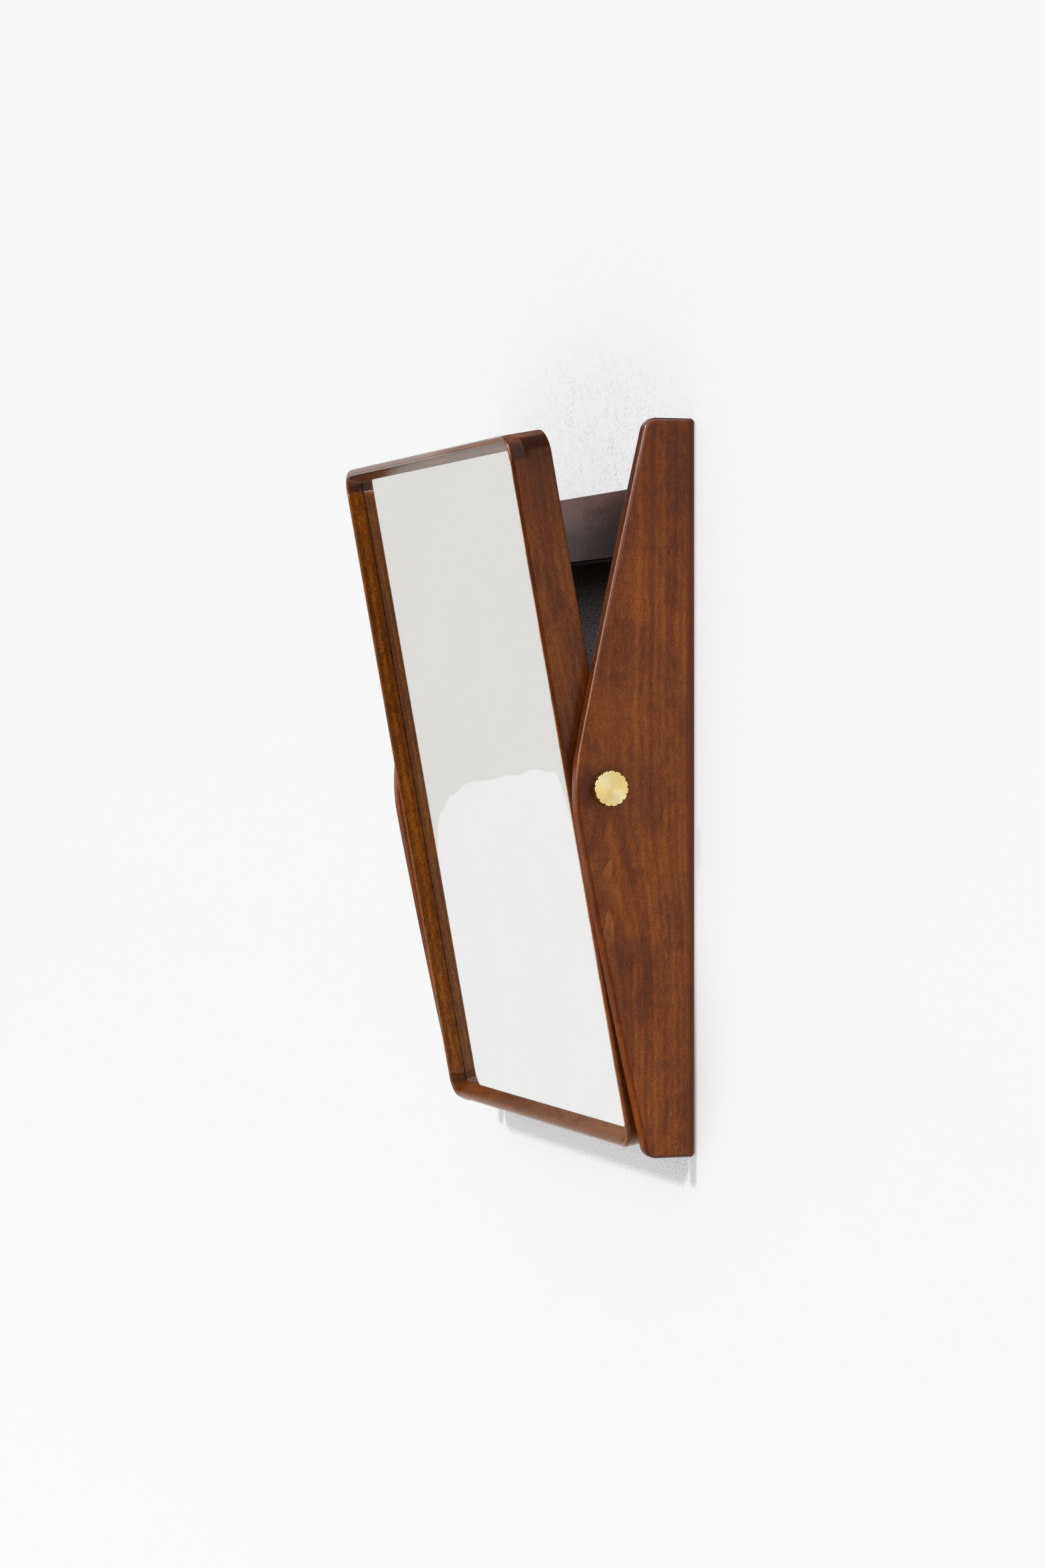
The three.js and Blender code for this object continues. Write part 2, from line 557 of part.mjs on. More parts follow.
for (const side of [1, -1]) {
  const name = side > 0 ? 'right' : 'left';
  const X = (x) => side * x;

  // pivot plate: a strip with a tapped boss that fills the bore in the stile
  const p0 = wallX - GAP - PLATE_T, p1 = wallX - GAP;
  let plate = box(Math.min(X(p0), X(p1)), Math.max(X(p0), X(p1)), -PLATE_V / 2, PLATE_V / 2, -PLATE_H / 2, PLATE_H / 2);
  plate = plate.add(rodX(X(p0 + 0.5), X(halfW - GAP), BOSS_R, 0, 0, 24));
  plate = plate.subtract(rodX(X(p0 - 1), X(halfW + 1), PLATE_TAP_R, 0, 0, 24));
  for (const d of [-1, 1]) {
    plate = plate.subtract(rodX(X(p0 - 1), X(p1 + 1), 2.7, 0, d * PLATE_SCREW_W, 12));
    const tip = wallX + 4.7;
    const prof = [[2.35, X(p0)], [2.35, X(p0 + 0.3)], [1.3, X(p0 + 1.6)], [1.3, X(tip - 1.4)], [0.3, X(tip)]];
    let screw = turnedX(side > 0 ? prof : prof.reverse(), 0, d * PLATE_SCREW_W, 10);
    screw = screw.subtract(box(Math.min(X(p0 - 1), X(p0 + 0.5)), Math.max(X(p0 - 1), X(p0 + 0.5)),
      -0.3, 0.3, d * PLATE_SCREW_W - 4, d * PLATE_SCREW_W + 4));
    add(tilting, `pivot_plate_screw_${name}_${d > 0 ? 'upper' : 'lower'}`, screw, BRASS);
  }
  add(tilting, `${name}_pivot_plate`, plate, BRASS);

  // fibre friction washer between stile and cheek
  const w0 = halfW + GAP, w1 = CHEEK_INNER_X - GAP;
  add(tilting, `${name}_friction_washer`, rodX(X(w0), X(w1), FRICTION_R, 0, 0, 24)
    .subtract(rodX(X(w0 - 1), X(w1 + 1), WASHER_IN_R, 0, 0, 24)), FIBRE);

  // thin brass washer under the knob
  const c0 = CHEEK_OUTER_X + GAP, c1 = c0 + CLAMP_WASHER_T;
  add(tilting, `${name}_clamp_washer`, rodX(X(c0), X(c1), CLAMP_WASHER_R, 0, 0, 24)
    .subtract(rodX(X(c0 - 1), X(c1 + 1), WASHER_IN_R, 0, 0, 24)), BRASS);

  // knob head with a blind bore for its stud
  const k0 = c1 + GAP, k1 = k0 + KNOB_T;
  let head = plateX(knobShape(), Math.min(X(k0), X(k1)), Math.max(X(k0), X(k1)), 0.5, 1);
  head = head.subtract(rodX(X(k0 - 1), X(k0 + 3.6), STUD_R + GAP, 0, 0, 24));
  add(tilting, `${name}_knob`, head, BRASS);

  // threaded stud, from inside the knob through bush, washers and tapped boss
  const s0 = wallX - 7, s1 = k0 + 3.3;
  const stud = [[STUD_R - 0.7, X(s0)], [STUD_R, X(s0 + 0.7)], [STUD_R, X(s1 - 0.4)], [STUD_R - 0.4, X(s1)]];
  add(tilting, `${name}_knob_stud`, turnedX(side > 0 ? stud : stud.reverse(), 0, 0, 24), BRASS);
}

export default mirrorPart;
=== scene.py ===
import math

import bpy
import bmesh
import numpy as np
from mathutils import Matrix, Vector


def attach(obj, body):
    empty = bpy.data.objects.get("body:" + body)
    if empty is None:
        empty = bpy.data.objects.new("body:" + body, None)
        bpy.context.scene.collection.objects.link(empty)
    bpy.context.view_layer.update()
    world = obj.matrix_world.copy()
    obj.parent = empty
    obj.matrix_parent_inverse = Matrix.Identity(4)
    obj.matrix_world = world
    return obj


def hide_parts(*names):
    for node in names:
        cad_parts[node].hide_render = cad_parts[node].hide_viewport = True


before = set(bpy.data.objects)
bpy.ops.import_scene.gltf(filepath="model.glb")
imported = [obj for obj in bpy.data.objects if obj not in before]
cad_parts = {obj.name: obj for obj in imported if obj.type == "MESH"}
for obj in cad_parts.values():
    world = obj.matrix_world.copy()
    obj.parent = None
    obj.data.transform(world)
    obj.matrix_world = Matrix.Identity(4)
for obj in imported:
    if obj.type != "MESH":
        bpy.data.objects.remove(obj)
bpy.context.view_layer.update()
SCENE = bpy.context.scene
MM = 0.001
TAU = 2 * math.pi

# ------------------------------------------------------------------ sizes, mm
CHEEK_H, CHEEK_T, CHEEK_X = 525.0, 12.0, 218.0
APEX, APEX_R, SLOPE, BOW = 90.0, 150.0, 0.20, 7.1e-5
CORNER_R, ROUND = 10.0, 3.0
RAIL_H, RAIL_T, RAIL_OFF, RAIL_END = 50.0, 14.0, 193.0, 205.7
PIVOT_Y, TILT = -66.0, 10.4
FW, FH = 408.0, 514.6
FRONT, BACK, NOSE, LIP, REBATE, GLASS_V = -25.0, 6.2, 2.9, 11.0, 7.0, -14.0
OUT_R, LIP_R = 18.0, 1.5
FINGER_V, FINGER_H = -13.6, 18.5
HW, HH = FW / 2, FH / 2
WALL_X, WALL_Z = HW - REBATE, HH - REBATE
BEAD = 5.5
BEAD_V0 = GLASS_V + 0.3 + 3 + 0.3 + 3 + 0.3
BRACKET = (0, 0, -RAIL_OFF)                # drawn about the tilt axis height, on the wall
TILTING = (0, PIVOT_Y, -RAIL_OFF)          # drawn about the tilt axis


# ------------------------------------------------------------------ mesh helpers
class Geo:
    """Vertices in mm and faces, built up from closed solids."""

    def __init__(self):
        self.v, self.f = [], []

    def add(self, verts, faces):
        n = len(self.v)
        self.v += [tuple(map(float, p)) for p in verts]
        self.f += [tuple(i + n for i in f) for f in faces]
        return self

    def join(self, other):
        return self.add(other.v, other.f)

    def moved(self, x=0, y=0, z=0, sx=1):
        g = Geo()
        g.v = [(sx * a + x, b + y, c + z) for a, b, c in self.v]
        g.f = [tuple(reversed(f)) for f in self.f] if sx < 0 else list(self.f)
        return g


def make(name, geo, base=(0, 0, 0), tilt=0.0, recalc=True):
    me = bpy.data.meshes.new(name)
    me.from_pydata([(a * MM, b * MM, c * MM) for a, b, c in geo.v], [], geo.f)
    ob = bpy.data.objects.new(name, me)
    SCENE.collection.objects.link(ob)
    ob.location = [c * MM for c in base]
    ob.rotation_euler = (math.radians(tilt), 0, 0)
    if recalc:
        bm = bmesh.new()
        bm.from_mesh(me)
        bmesh.ops.recalc_face_normals(bm, faces=bm.faces)
        bm.to_mesh(me)
        bm.free()
    return ob


def settle(ob):
    """Replaces the object's mesh by what its modifiers make of it."""
    bpy.context.view_layer.update()
    dg = bpy.context.evaluated_depsgraph_get()
    me = bpy.data.meshes.new_from_object(ob.evaluated_get(dg))
    old = ob.data
    ob.modifiers.clear()
    ob.data = me
    me.name = ob.name
    bpy.data.meshes.remove(old)
    return ob


def carve(ob, geo, op="DIFFERENCE"):
    tool = make("cutter", geo)
    tool.location, tool.rotation_euler = ob.location.copy(), ob.rotation_euler.copy()
    m = ob.modifiers.new("carve", "BOOLEAN")
    m.operation, m.object, m.solver = op, tool, "EXACT"
    m.use_self = False
    settle(ob)
    me = tool.data
    bpy.data.objects.remove(tool)
    bpy.data.meshes.remove(me)
    return ob


def bevel(ob, width, segments=2, angle=40):
    m = ob.modifiers.new("edge", "BEVEL")
    m.width, m.segments, m.limit_method = width * MM, segments, "ANGLE"
    m.angle_limit = math.radians(angle)
    m.use_clamp_overlap = True
    m.miter_outer = "MITER_ARC"
    return settle(ob)


def tidy(ob, dist=0.0004):
    bm = bmesh.new()
    bm.from_mesh(ob.data)
    bmesh.ops.remove_doubles(bm, verts=bm.verts, dist=dist * MM)
    bmesh.ops.dissolve_degenerate(bm, edges=bm.edges, dist=dist * MM)
    bm.to_mesh(ob.data)
    bm.free()
    return ob


def shade(ob, angle=32):
    me = ob.data
    me.polygons.foreach_set("use_smooth", [True] * len(me.polygons))
    me.set_sharp_from_angle(angle=math.radians(angle))
    me.update()
    return ob


def weigh(ob):
    """Normals that follow the large flat faces, so that the narrow rounded edges carry all the turning."""
    m = ob.modifiers.new("normals", "WEIGHTED_NORMAL")
    m.mode, m.weight, m.keep_sharp = "FACE_AREA", 50, True
    return settle(ob)


def loft(rings, closed=False, caps=True):
    """Closed section rings joined in order; closed joins the last to the first."""
    g = Geo()
    m, k = len(rings[0]), len(rings)
    verts = [p for r in rings for p in r]
    faces = []
    for i in range(k if closed else k - 1):
        a, b = i * m, ((i + 1) % k) * m
        for j in range(m):
            j1 = (j + 1) % m
            faces.append((a + j, a + j1, b + j1, b + j))
    if caps and not closed:
        faces.append(tuple(range(m))[::-1])
        faces.append(tuple((k - 1) * m + j for j in range(m)))
    return g.add(verts, faces)


def box(x0, x1, y0, y1, z0, z1):
    x0, x1 = min(x0, x1), max(x0, x1)
    y0, y1 = min(y0, y1), max(y0, y1)
    z0, z1 = min(z0, z1), max(z0, z1)
    v = [(x, y, z) for z in (z0, z1) for x, y in ((x0, y0), (x1, y0), (x1, y1), (x0, y1))]
    return Geo().add(v, [(3, 2, 1, 0), (4, 5, 6, 7), (0, 1, 5, 4), (1, 2, 6, 5), (2, 3, 7, 6), (3, 0, 4, 7)])


def place(axis, r, t, a, c):
    """A point at radius r and angle a about an axis through c, t along it."""
    u, w = r * math.cos(a), r * math.sin(a)
    if axis == "X":
        return (t, c[0] + u, c[1] + w)
    if axis == "Y":
        return (c[0] + u, t, c[1] + w)
    return (c[0] + u, c[1] + w, t)


def lathe(axis, profile, c=(0, 0), sides=48, loop=False):
    """A turned solid. profile is (radius, along); loop closes it into a ring, else its ends lie on the axis."""
    g = Geo()
    verts, faces, rows = [], [], []
    for r, t in profile:
        if r <= 1e-9:
            rows.append([len(verts)] * sides)
            verts.append(place(axis, 0, t, 0, c))
        else:
            rows.append(list(range(len(verts), len(verts) + sides)))
            verts += [place(axis, r, t, TAU * i / sides, c) for i in range(sides)]
    n = len(rows)
    for k in range(n if loop else n - 1):
        a, b = rows[k], rows[(k + 1) % n]
        for i in range(sides):
            j = (i + 1) % sides
            q = []
            for x in (a[i], a[j], b[j], b[i]):
                if x not in q:
                    q.append(x)
            if len(q) > 2:
                faces.append(tuple(q))
    return g.add(verts, faces)


def rod(axis, t0, t1, r, c=(0, 0), sides=32):
    return lathe(axis, [(0, min(t0, t1)), (r, min(t0, t1)), (r, max(t0, t1)), (0, max(t0, t1))], c, sides)


def fillet(pts, radii, n=5, closed=True):
    """Rounds a polygon's corners. radii is one number or one for each corner."""
    out = []
    k = len(pts)
    if not hasattr(radii, "__len__"):
        radii = [radii] * k
    for i in range(k):
        p = np.array(pts[i], float)
        if (not closed and i in (0, k - 1)) or radii[i] <= 0:
            out.append(tuple(p))
            continue
        a, b = np.array(pts[i - 1], float), np.array(pts[(i + 1) % k], float)
        u, w = (a - p), (b - p)
        lu, lw = np.linalg.norm(u), np.linalg.norm(w)
        u, w = u / lu, w / lw
        ang = math.acos(max(-1, min(1, float(u @ w))))
        if abs(ang - math.pi) < 1e-3:
            out.append(tuple(p))
            continue
        d = min(radii[i] / math.tan(ang / 2), 0.49 * lu, 0.49 * lw)
        r = d * math.tan(ang / 2)
        cen = p + (u + w) / np.linalg.norm(u + w) * (r / math.sin(ang / 2))
        s, e = p + u * d - cen, p + w * d - cen
        turn = math.pi - ang
        sign = 1 if s[0] * e[1] - s[1] * e[0] > 0 else -1
        for j in range(n + 1):
            t = sign * turn * j / n
            out.append((cen[0] + s[0] * math.cos(t) - s[1] * math.sin(t),
                        cen[1] + s[0] * math.sin(t) + s[1] * math.cos(t)))
    return out


def outline_offset(pts, d):
    """Closed outline moved inwards; d is one number or one for each point."""
    p = np.array(pts, float)
    nxt, prv = np.roll(p, -1, 0), np.roll(p, 1, 0)
    e1, e2 = p - prv, nxt - p
    e1 /= np.linalg.norm(e1, axis=1)[:, None]
    e2 /= np.linalg.norm(e2, axis=1)[:, None]
    n1 = np.stack([-e1[:, 1], e1[:, 0]], 1)
    n2 = np.stack([-e2[:, 1], e2[:, 0]], 1)
    n = n1 + n2
    n /= np.linalg.norm(n, axis=1)[:, None]
    area = 0.5 * np.sum(p[:, 0] * nxt[:, 1] - nxt[:, 0] * p[:, 1])
    if area < 0:
        n = -n
    k = 1 / np.maximum(np.sum(n * n1 * (1 if area > 0 else -1), 1), 0.5)
    d = np.asarray(d, float) * np.ones(len(p))
    return p + n * (d * k)[:, None]


def board(outline, t0, t1, r0, r1, put, steps=7):
    """A flat board with rounded edges. outline is in its plane, t0 to t1 its faces, r0 and r1 the edge radius
    at each face (one number or one for each outline point), put turns (a, b, t) into a point."""
    rings = []
    r0 = np.asarray(r0, float) * np.ones(len(outline))
    r1 = np.asarray(r1, float) * np.ones(len(outline))
    for k in range(steps + 1):
        a = math.pi / 2 * k / steps
        o = outline_offset(outline, r0 * (1 - math.sin(a)))
        rings.append([put(u, w, t0 + r * (1 - math.cos(a))) for (u, w), r in zip(o, r0)])
    for k in range(steps, -1, -1):
        a = math.pi / 2 * k / steps
        o = outline_offset(outline, r1 * (1 - math.sin(a)))
        rings.append([put(u, w, t1 - r * (1 - math.cos(a))) for (u, w), r in zip(o, r1)])
    return loft(rings)


def rounded_rect(hw, hh, r, n=10):
    return fillet([(-hw, -hh), (hw, -hh), (hw, hh), (-hw, hh)], r, n)


# ------------------------------------------------------------------ node helpers
class Nodes:
    def __init__(self, name):
        self.mat = bpy.data.materials.new(name)
        self.mat.use_nodes = True
        self.nt = self.mat.node_tree
        self.nt.nodes.clear()
        self.out = self.nt.nodes.new("ShaderNodeOutputMaterial")

    def node(self, kind, **props):
        n = self.nt.nodes.new("ShaderNode" + kind)
        for k, v in props.items():
            setattr(n, k, v)
        return n

    def set(self, socket, value):
        if isinstance(value, bpy.types.NodeSocket):
            self.nt.links.new(value, socket)
        elif value is not None:
            socket.default_value = value

    def math(self, op, a, b=None, c=None, clamp=False):
        n = self.node("Math", operation=op, use_clamp=clamp)
        self.set(n.inputs[0], a)
        if b is not None:
            self.set(n.inputs[1], b)
        if c is not None:
            self.set(n.inputs[2], c)
        return n.outputs[0]

    def vmath(self, op, a, b=None, scale=None):
        n = self.node("VectorMath", operation=op)
        self.set(n.inputs[0], a)
        if b is not None:
            self.set(n.inputs[1], b)
        if scale is not None:
            self.set(n.inputs["Scale"], scale)
        return n.outputs["Value"] if op in ("DOT_PRODUCT", "LENGTH", "DISTANCE") else n.outputs[0]

    def split(self, v):
        n = self.node("SeparateXYZ")
        self.set(n.inputs[0], v)
        return n.outputs[0], n.outputs[1], n.outputs[2]

    def join(self, x, y, z):
        n = self.node("CombineXYZ")
        for s, v in zip(n.inputs, (x, y, z)):
            self.set(s, v)
        return n.outputs[0]

    def noise(self, v, scale=1.0, detail=2.0, rough=0.5, distortion=0.0, colour=False):
        n = self.node("TexNoise")
        self.set(n.inputs["Vector"], v)
        n.inputs["Scale"].default_value = scale
        n.inputs["Detail"].default_value = detail
        n.inputs["Roughness"].default_value = rough
        n.inputs["Distortion"].default_value = distortion
        return n.outputs["Color"] if colour else n.outputs["Fac"]

    def voronoi(self, v, scale=1.0, feature="F1", out="Distance", randomness=1.0):
        n = self.node("TexVoronoi", feature=feature)
        self.set(n.inputs["Vector"], v)
        n.inputs["Scale"].default_value = scale
        n.inputs["Randomness"].default_value = randomness
        return n.outputs[out]

    def span(self, v, lo, hi, a=0.0, b=1.0, smooth=False):
        n = self.node("MapRange", interpolation_type="SMOOTHSTEP" if smooth else "LINEAR")
        self.set(n.inputs["Value"], v)
        n.inputs["From Min"].default_value = lo
        n.inputs["From Max"].default_value = hi
        n.inputs["To Min"].default_value = a
        n.inputs["To Max"].default_value = b
        return n.outputs[0]

    def ramp(self, fac, stops, mode="LINEAR"):
        n = self.node("ValToRGB")
        n.color_ramp.interpolation = mode
        els = n.color_ramp.elements
        while len(els) < len(stops):
            els.new(0.5)
        for e, (p, c) in zip(els, stops):
            e.position = p
            e.color = (*c, 1) if len(c) == 3 else c
        self.set(n.inputs[0], fac)
        return n.outputs[0]

    def mix(self, fac, a, b, blend="MIX"):
        n = self.node("Mix", data_type="RGBA", blend_type=blend)
        self.set(n.inputs[0], fac)
        for s, v in ((n.inputs[6], a), (n.inputs[7], b)):
            self.set(s, (*v, 1) if isinstance(v, tuple) and len(v) == 3 else v)
        return n.outputs[2]

    def coords(self, kind="Object"):
        return self.node("TexCoord").outputs[kind]

    def bump(self, height, distance, strength=1.0, normal=None):
        n = self.node("Bump")
        n.inputs["Strength"].default_value = strength
        n.inputs["Distance"].default_value = distance
        self.set(n.inputs["Height"], height)
        if normal is not None:
            self.set(n.inputs["Normal"], normal)
        return n.outputs[0]

    def join_grey(self, v):
        return self.join(v, v, v)

    def plaster(self, x, z):
        """Fine trowel strokes, strongest round the top of the bracket; x and z in metres."""
        c, s_ = math.cos(math.radians(24)), math.sin(math.radians(24))
        u = self.math("MULTIPLY_ADD", x, c, self.math("MULTIPLY", z, s_))
        v = self.math("MULTIPLY_ADD", z, c, self.math("MULTIPLY", x, -s_))
        n1 = self.noise(self.join(self.math("MULTIPLY", u, 170.0), self.math("MULTIPLY", v, 760.0), 0.0), 1.0, 3.0, 0.7, 0.5)
        n2 = self.noise(self.join(self.math("MULTIPLY", x, 60.0), self.math("MULTIPLY", z, 60.0), 4.0), 1.0, 3.0, 0.6)
        area = self.noise(self.join(self.math("MULTIPLY", x, 5.0), self.math("MULTIPLY", z, 5.0), 9.0), 1.0, 2.0, 0.5)
        dx, dz = self.math("MULTIPLY", self.math("ADD", x, 0.02), 0.5), self.math("SUBTRACT", z, 0.03)
        d = self.math("SQRT", self.math("ADD", self.math("MULTIPLY", dx, dx), self.math("MULTIPLY", dz, dz)))
        near = self.math("MULTIPLY", self.math("ADD", self.span(d, 0.05, 0.14, 0.46, 0.0, True), self.span(d, 0.12, 0.40, 0.06, 0.0, True)), self.span(area, 0.30, 0.52, 0.45, 1.0, True))
        lines = self.math("MULTIPLY", self.span(n1, 0.50, 0.66, 0.0, 1.0, True), self.span(n2, 0.36, 0.58, 0.20, 1.0, True))
        return self.math("MULTIPLY", self.math("MULTIPLY", lines, near), 0.95)

    def principled(self, **values):
        n = self.node("BsdfPrincipled")
        for k, v in values.items():
            s = n.inputs[k.replace("_", " ")]
            self.set(s, (*v, 1) if isinstance(v, tuple) and len(v) == 3 and s.type == "RGBA" else v)
        self.nt.links.new(n.outputs[0], self.out.inputs[0])
        return n


# ------------------------------------------------------------------ materials
def wood(name, grain="Z", seed=(0, 0, 0), pith=None, tone=1.0, tint=(1, 1, 1), blotch=0.7, ring_gain=0.16,
         period=5.0, marks=(), coat=1.0, coat_rough=0.19, patches=(), saturation=1.0, contrast=1.0, broad_gain=0.36, end=1.0, edge_shading=None, flames=(), nose=None, grey=None, skin=1.0, bare_shaded_under=False):
    """Stained, lacquered wood in solid 3-D: growth rings about a pith line, streaks, short pores, stain blotches,
    dark end grain, and small marks. Lengths inside are millimetres in the piece's own axes."""
    t = Nodes(name)
    p = t.vmath("SCALE", t.coords(), scale=1000.0)
    x, y, z = t.split(p)
    nx, ny, nz = t.split(t.coords("Normal"))
    if grain == "Z":
        a, b, g, ng = x, y, z, nz
    elif grain == "X":
        a, b, g, ng = z, y, x, nx
    else:
        a, b, g, ng = x, z, y, ny
    q = t.join(a, b, g)
    qs = t.vmath("ADD", q, tuple(map(float, seed)))
    # slow wander of the grain
    wander = t.vmath("SUBTRACT", t.noise(t.vmath("MULTIPLY", qs, (0.012, 0.012, 0.0042)), 1.0, 2.0, 0.5, colour=True), (0.5, 0.5, 0.5))
    fine_w = t.vmath("SUBTRACT", t.noise(t.vmath("MULTIPLY", qs, (0.09, 0.09, 0.030)), 1.0, 2.0, 0.5, colour=True), (0.5, 0.5, 0.5))
    qb = t.vmath("ADD", t.vmath("ADD", qs, t.vmath("MULTIPLY", wander, (22.0, 22.0, 0.0))), t.vmath("MULTIPLY", fine_w, (2.2, 2.2, 0.0)))
    # growth rings about a pith line that leans through the board
    pa, pb, d0, d1, g0, gw = pith or (0.0, -65.0, 20.0, 14.0, -60.0, 110.0)
    warp = t.vmath("ADD", t.vmath("MULTIPLY", wander, (8.0, 8.0, 0.0)), t.vmath("MULTIPLY", fine_w, (2.6, 2.6, 0.0)))
    qa0, qb0, _ = t.split(t.vmath("ADD", q, warp))
    lean = t.math("TANH", t.math("DIVIDE", t.math("SUBTRACT", g, g0), gw))
    da = t.math("ADD", t.math("SUBTRACT", qa0, pa), t.math("MULTIPLY_ADD", lean, d1, d0))
    db = t.math("SUBTRACT", qb0, pb)
    rho = t.math("SQRT", t.math("ADD", t.math("MULTIPLY", da, da), t.math("MULTIPLY", db, db)))
    ring = t.math("SINE", t.math("MULTIPLY", rho, TAU / period))
    ring2 = t.math("SINE", t.math("MULTIPLY_ADD", rho, TAU / (period * 2.73), 1.3))
    rings = t.math("MULTIPLY_ADD", ring2, 0.5, t.math("MULTIPLY", ring, 0.5))
    # streaks, from broad to hair-fine
    broad = t.noise(t.vmath("MULTIPLY", qb, (0.060, 0.060, 0.0060)), 1.0, 2.0, 0.5)
    streak = t.noise(t.vmath("MULTIPLY", qb, (0.30, 0.30, 0.0100)), 1.0, 3.0, 0.6)
    hair = t.noise(t.vmath("MULTIPLY", qb, (1.25, 1.25, 0.120)), 1.0, 3.0, 0.65)
    mottle = t.noise(t.vmath("MULTIPLY", qs, (0.32, 0.32, 0.15)), 1.0, 3.0, 0.60)
    fleck = t.noise(t.vmath("MULTIPLY", t.vmath("ADD", qb, (40.0, 3.0, 9.0)), (1.35, 1.35, 0.70)), 1.0, 3.0, 0.80)
    pore_n = t.noise(t.vmath("MULTIPLY", qb, (2.6, 2.6, 0.20)), 1.0, 1.0, 0.5)
    pores = t.span(pore_n, 0.60, 0.74, 0.0, 1.0, True)
    v = t.math("MULTIPLY_ADD", t.math("SUBTRACT", broad, 0.5), broad_gain * contrast, 0.50)
    v = t.math("MULTIPLY_ADD", t.math("SUBTRACT", streak, 0.5), 0.30 * contrast, v)
    v = t.math("MULTIPLY_ADD", t.math("SUBTRACT", hair, 0.5), 0.46 * contrast, v)
    v = t.math("MULTIPLY_ADD", t.math("SUBTRACT", mottle, 0.5), 0.36 * contrast, v)
    v = t.math("MULTIPLY_ADD", t.math("SUBTRACT", fleck, 0.5), 1.25 * contrast, v)
    v = t.math("MULTIPLY_ADD", rings, ring_gain * 0.5, v)
    for (ca, cb, cg, ra, rb, rg, gain) in patches:      # soft lighter or darker places, in the piece's own axes
        e = t.vmath("MULTIPLY", t.vmath("SUBTRACT", t.vmath("ADD", q, t.vmath("MULTIPLY", wander, (8.0, 8.0, 20.0))), (ca, cb, cg)),
                    (1 / ra, 1 / rb, 1 / rg))
        v = t.math("MULTIPLY_ADD", t.span(t.vmath("LENGTH", e), 0.35, 1.0, 1.0, 0.0, True), gain, v)
    for (cb, top, length, half, lean_f, gain) in flames:      # pointed light figures where the saw grazed a ring
        u = t.span(g, top, top - length, 0.0, 1.0)
        taper = t.math("MULTIPLY", t.math("POWER", u, 0.55), half)
        across = t.math("ADD", t.math("SUBTRACT", b, cb), t.math("MULTIPLY_ADD", u, lean_f, t.math("MULTIPLY", t.split(fine_w)[1], 9.0)))
        near = t.math("SUBTRACT", 1.0, t.math("DIVIDE", t.math("ABSOLUTE", across), t.math("ADD", taper, 0.05)))
        body = t.math("MULTIPLY", t.span(near, 0.0, 0.30, 0.0, 1.0, True), t.math("MULTIPLY", t.span(u, 0.0, 0.04, 0.0, 1.0), t.span(u, 0.55, 1.0, 1.0, 0.0, True)))
        rim_line = t.math("MULTIPLY", t.span(near, -0.30, -0.02, 0.0, 1.0, True), t.span(near, 0.02, 0.10, 1.0, 0.0, True))
        v = t.math("MULTIPLY_ADD", body, gain, v)
        v = t.math("MULTIPLY_ADD", t.math("MULTIPLY", rim_line, t.span(u, 0.0, 1.0, 1.0, 0.0)), -0.10, v)
    col = t.ramp(v, [(0.0, (0.070, 0.0150, 0.0022)), (0.30, (0.130, 0.0290, 0.0036)), (0.50, (0.196, 0.0480, 0.0058)),
                     (0.70, (0.280, 0.0800, 0.0105)), (0.88, (0.370, 0.1200, 0.0180)), (1.0, (0.460, 0.1700, 0.0330))])
    # stain taken up unevenly: purple-brown clouds
    cloud = t.noise(t.vmath("ADD", t.vmath("MULTIPLY", qs, (0.042, 0.042, 0.020)), t.vmath("SCALE", fine_w, scale=0.35)), 1.0, 4.0, 0.60, 0.5)
    cloud_m = t.math("MULTIPLY", t.span(cloud, 0.45, 0.62, 0.0, 1.0, True), blotch)
    col = t.mix(cloud_m, col, t.mix(1.0, col, (0.64, 0.60, 1.00), "MULTIPLY"))
    col = t.mix(t.math("MULTIPLY", pores, 0.38), col, (0.060, 0.0140, 0.0040))
    if edge_shading:                                            # painted shade and a painted highlight along the cheek's rounded edges and at the wall
        turn = t.math("ABSOLUTE", t.split(t.coords("Normal"))[edge_shading[0]])
        line = t.math("MULTIPLY", t.span(turn, 0.70, 0.93, 0.0, 1.0, True), t.span(turn, 0.999, 0.975, 0.0, 1.0, True))
        wall_shade = t.span(t.split(p)[1], -edge_shading[1] - 3.0, -edge_shading[1] + 2.2, 0.0, 1.0, True)
        up = t.span(g, -12.0, 30.0, 0.0, 1.0, True)
        # painted shade: the front-facing band is darkened strongly in the upper half, and more lightly, with less coat,
        # in the lower half
        front_shade = t.span(ny, -0.72, -0.86, 0.0, 1.0, True)
        col = t.mix(t.math("MULTIPLY", front_shade, t.math("MULTIPLY", up, 0.82)), col, t.mix(1.0, col, (0.34, 0.31, 0.36), "MULTIPLY"))
        low_front_shade = t.math("MULTIPLY", t.span(ny, -0.30, -0.55, 0.0, 1.0, True), t.math("SUBTRACT", 1.0, up))
        col = t.mix(low_front_shade, col, t.mix(1.0, col, (0.68, 0.60, 0.36), "MULTIPLY"))
        # painted shade on faces turned downwards
        col = t.mix(t.span(nz, -0.25, -0.60, 0.0, 0.85, True), col, (0.045, 0.0140, 0.0100))
        coat = t.math("MULTIPLY_ADD", t.math("MULTIPLY", low_front_shade, t.span(g, -30.0, -95.0, 0.25, 1.0, True)), -0.72 * coat, coat)
        # painted shade: a dark line on the rounded edge, stronger in the lower half
        col = t.mix(t.math("MULTIPLY", line, t.math("MULTIPLY_ADD", up, -0.45, 0.55)), col, (0.055, 0.0170, 0.0085))
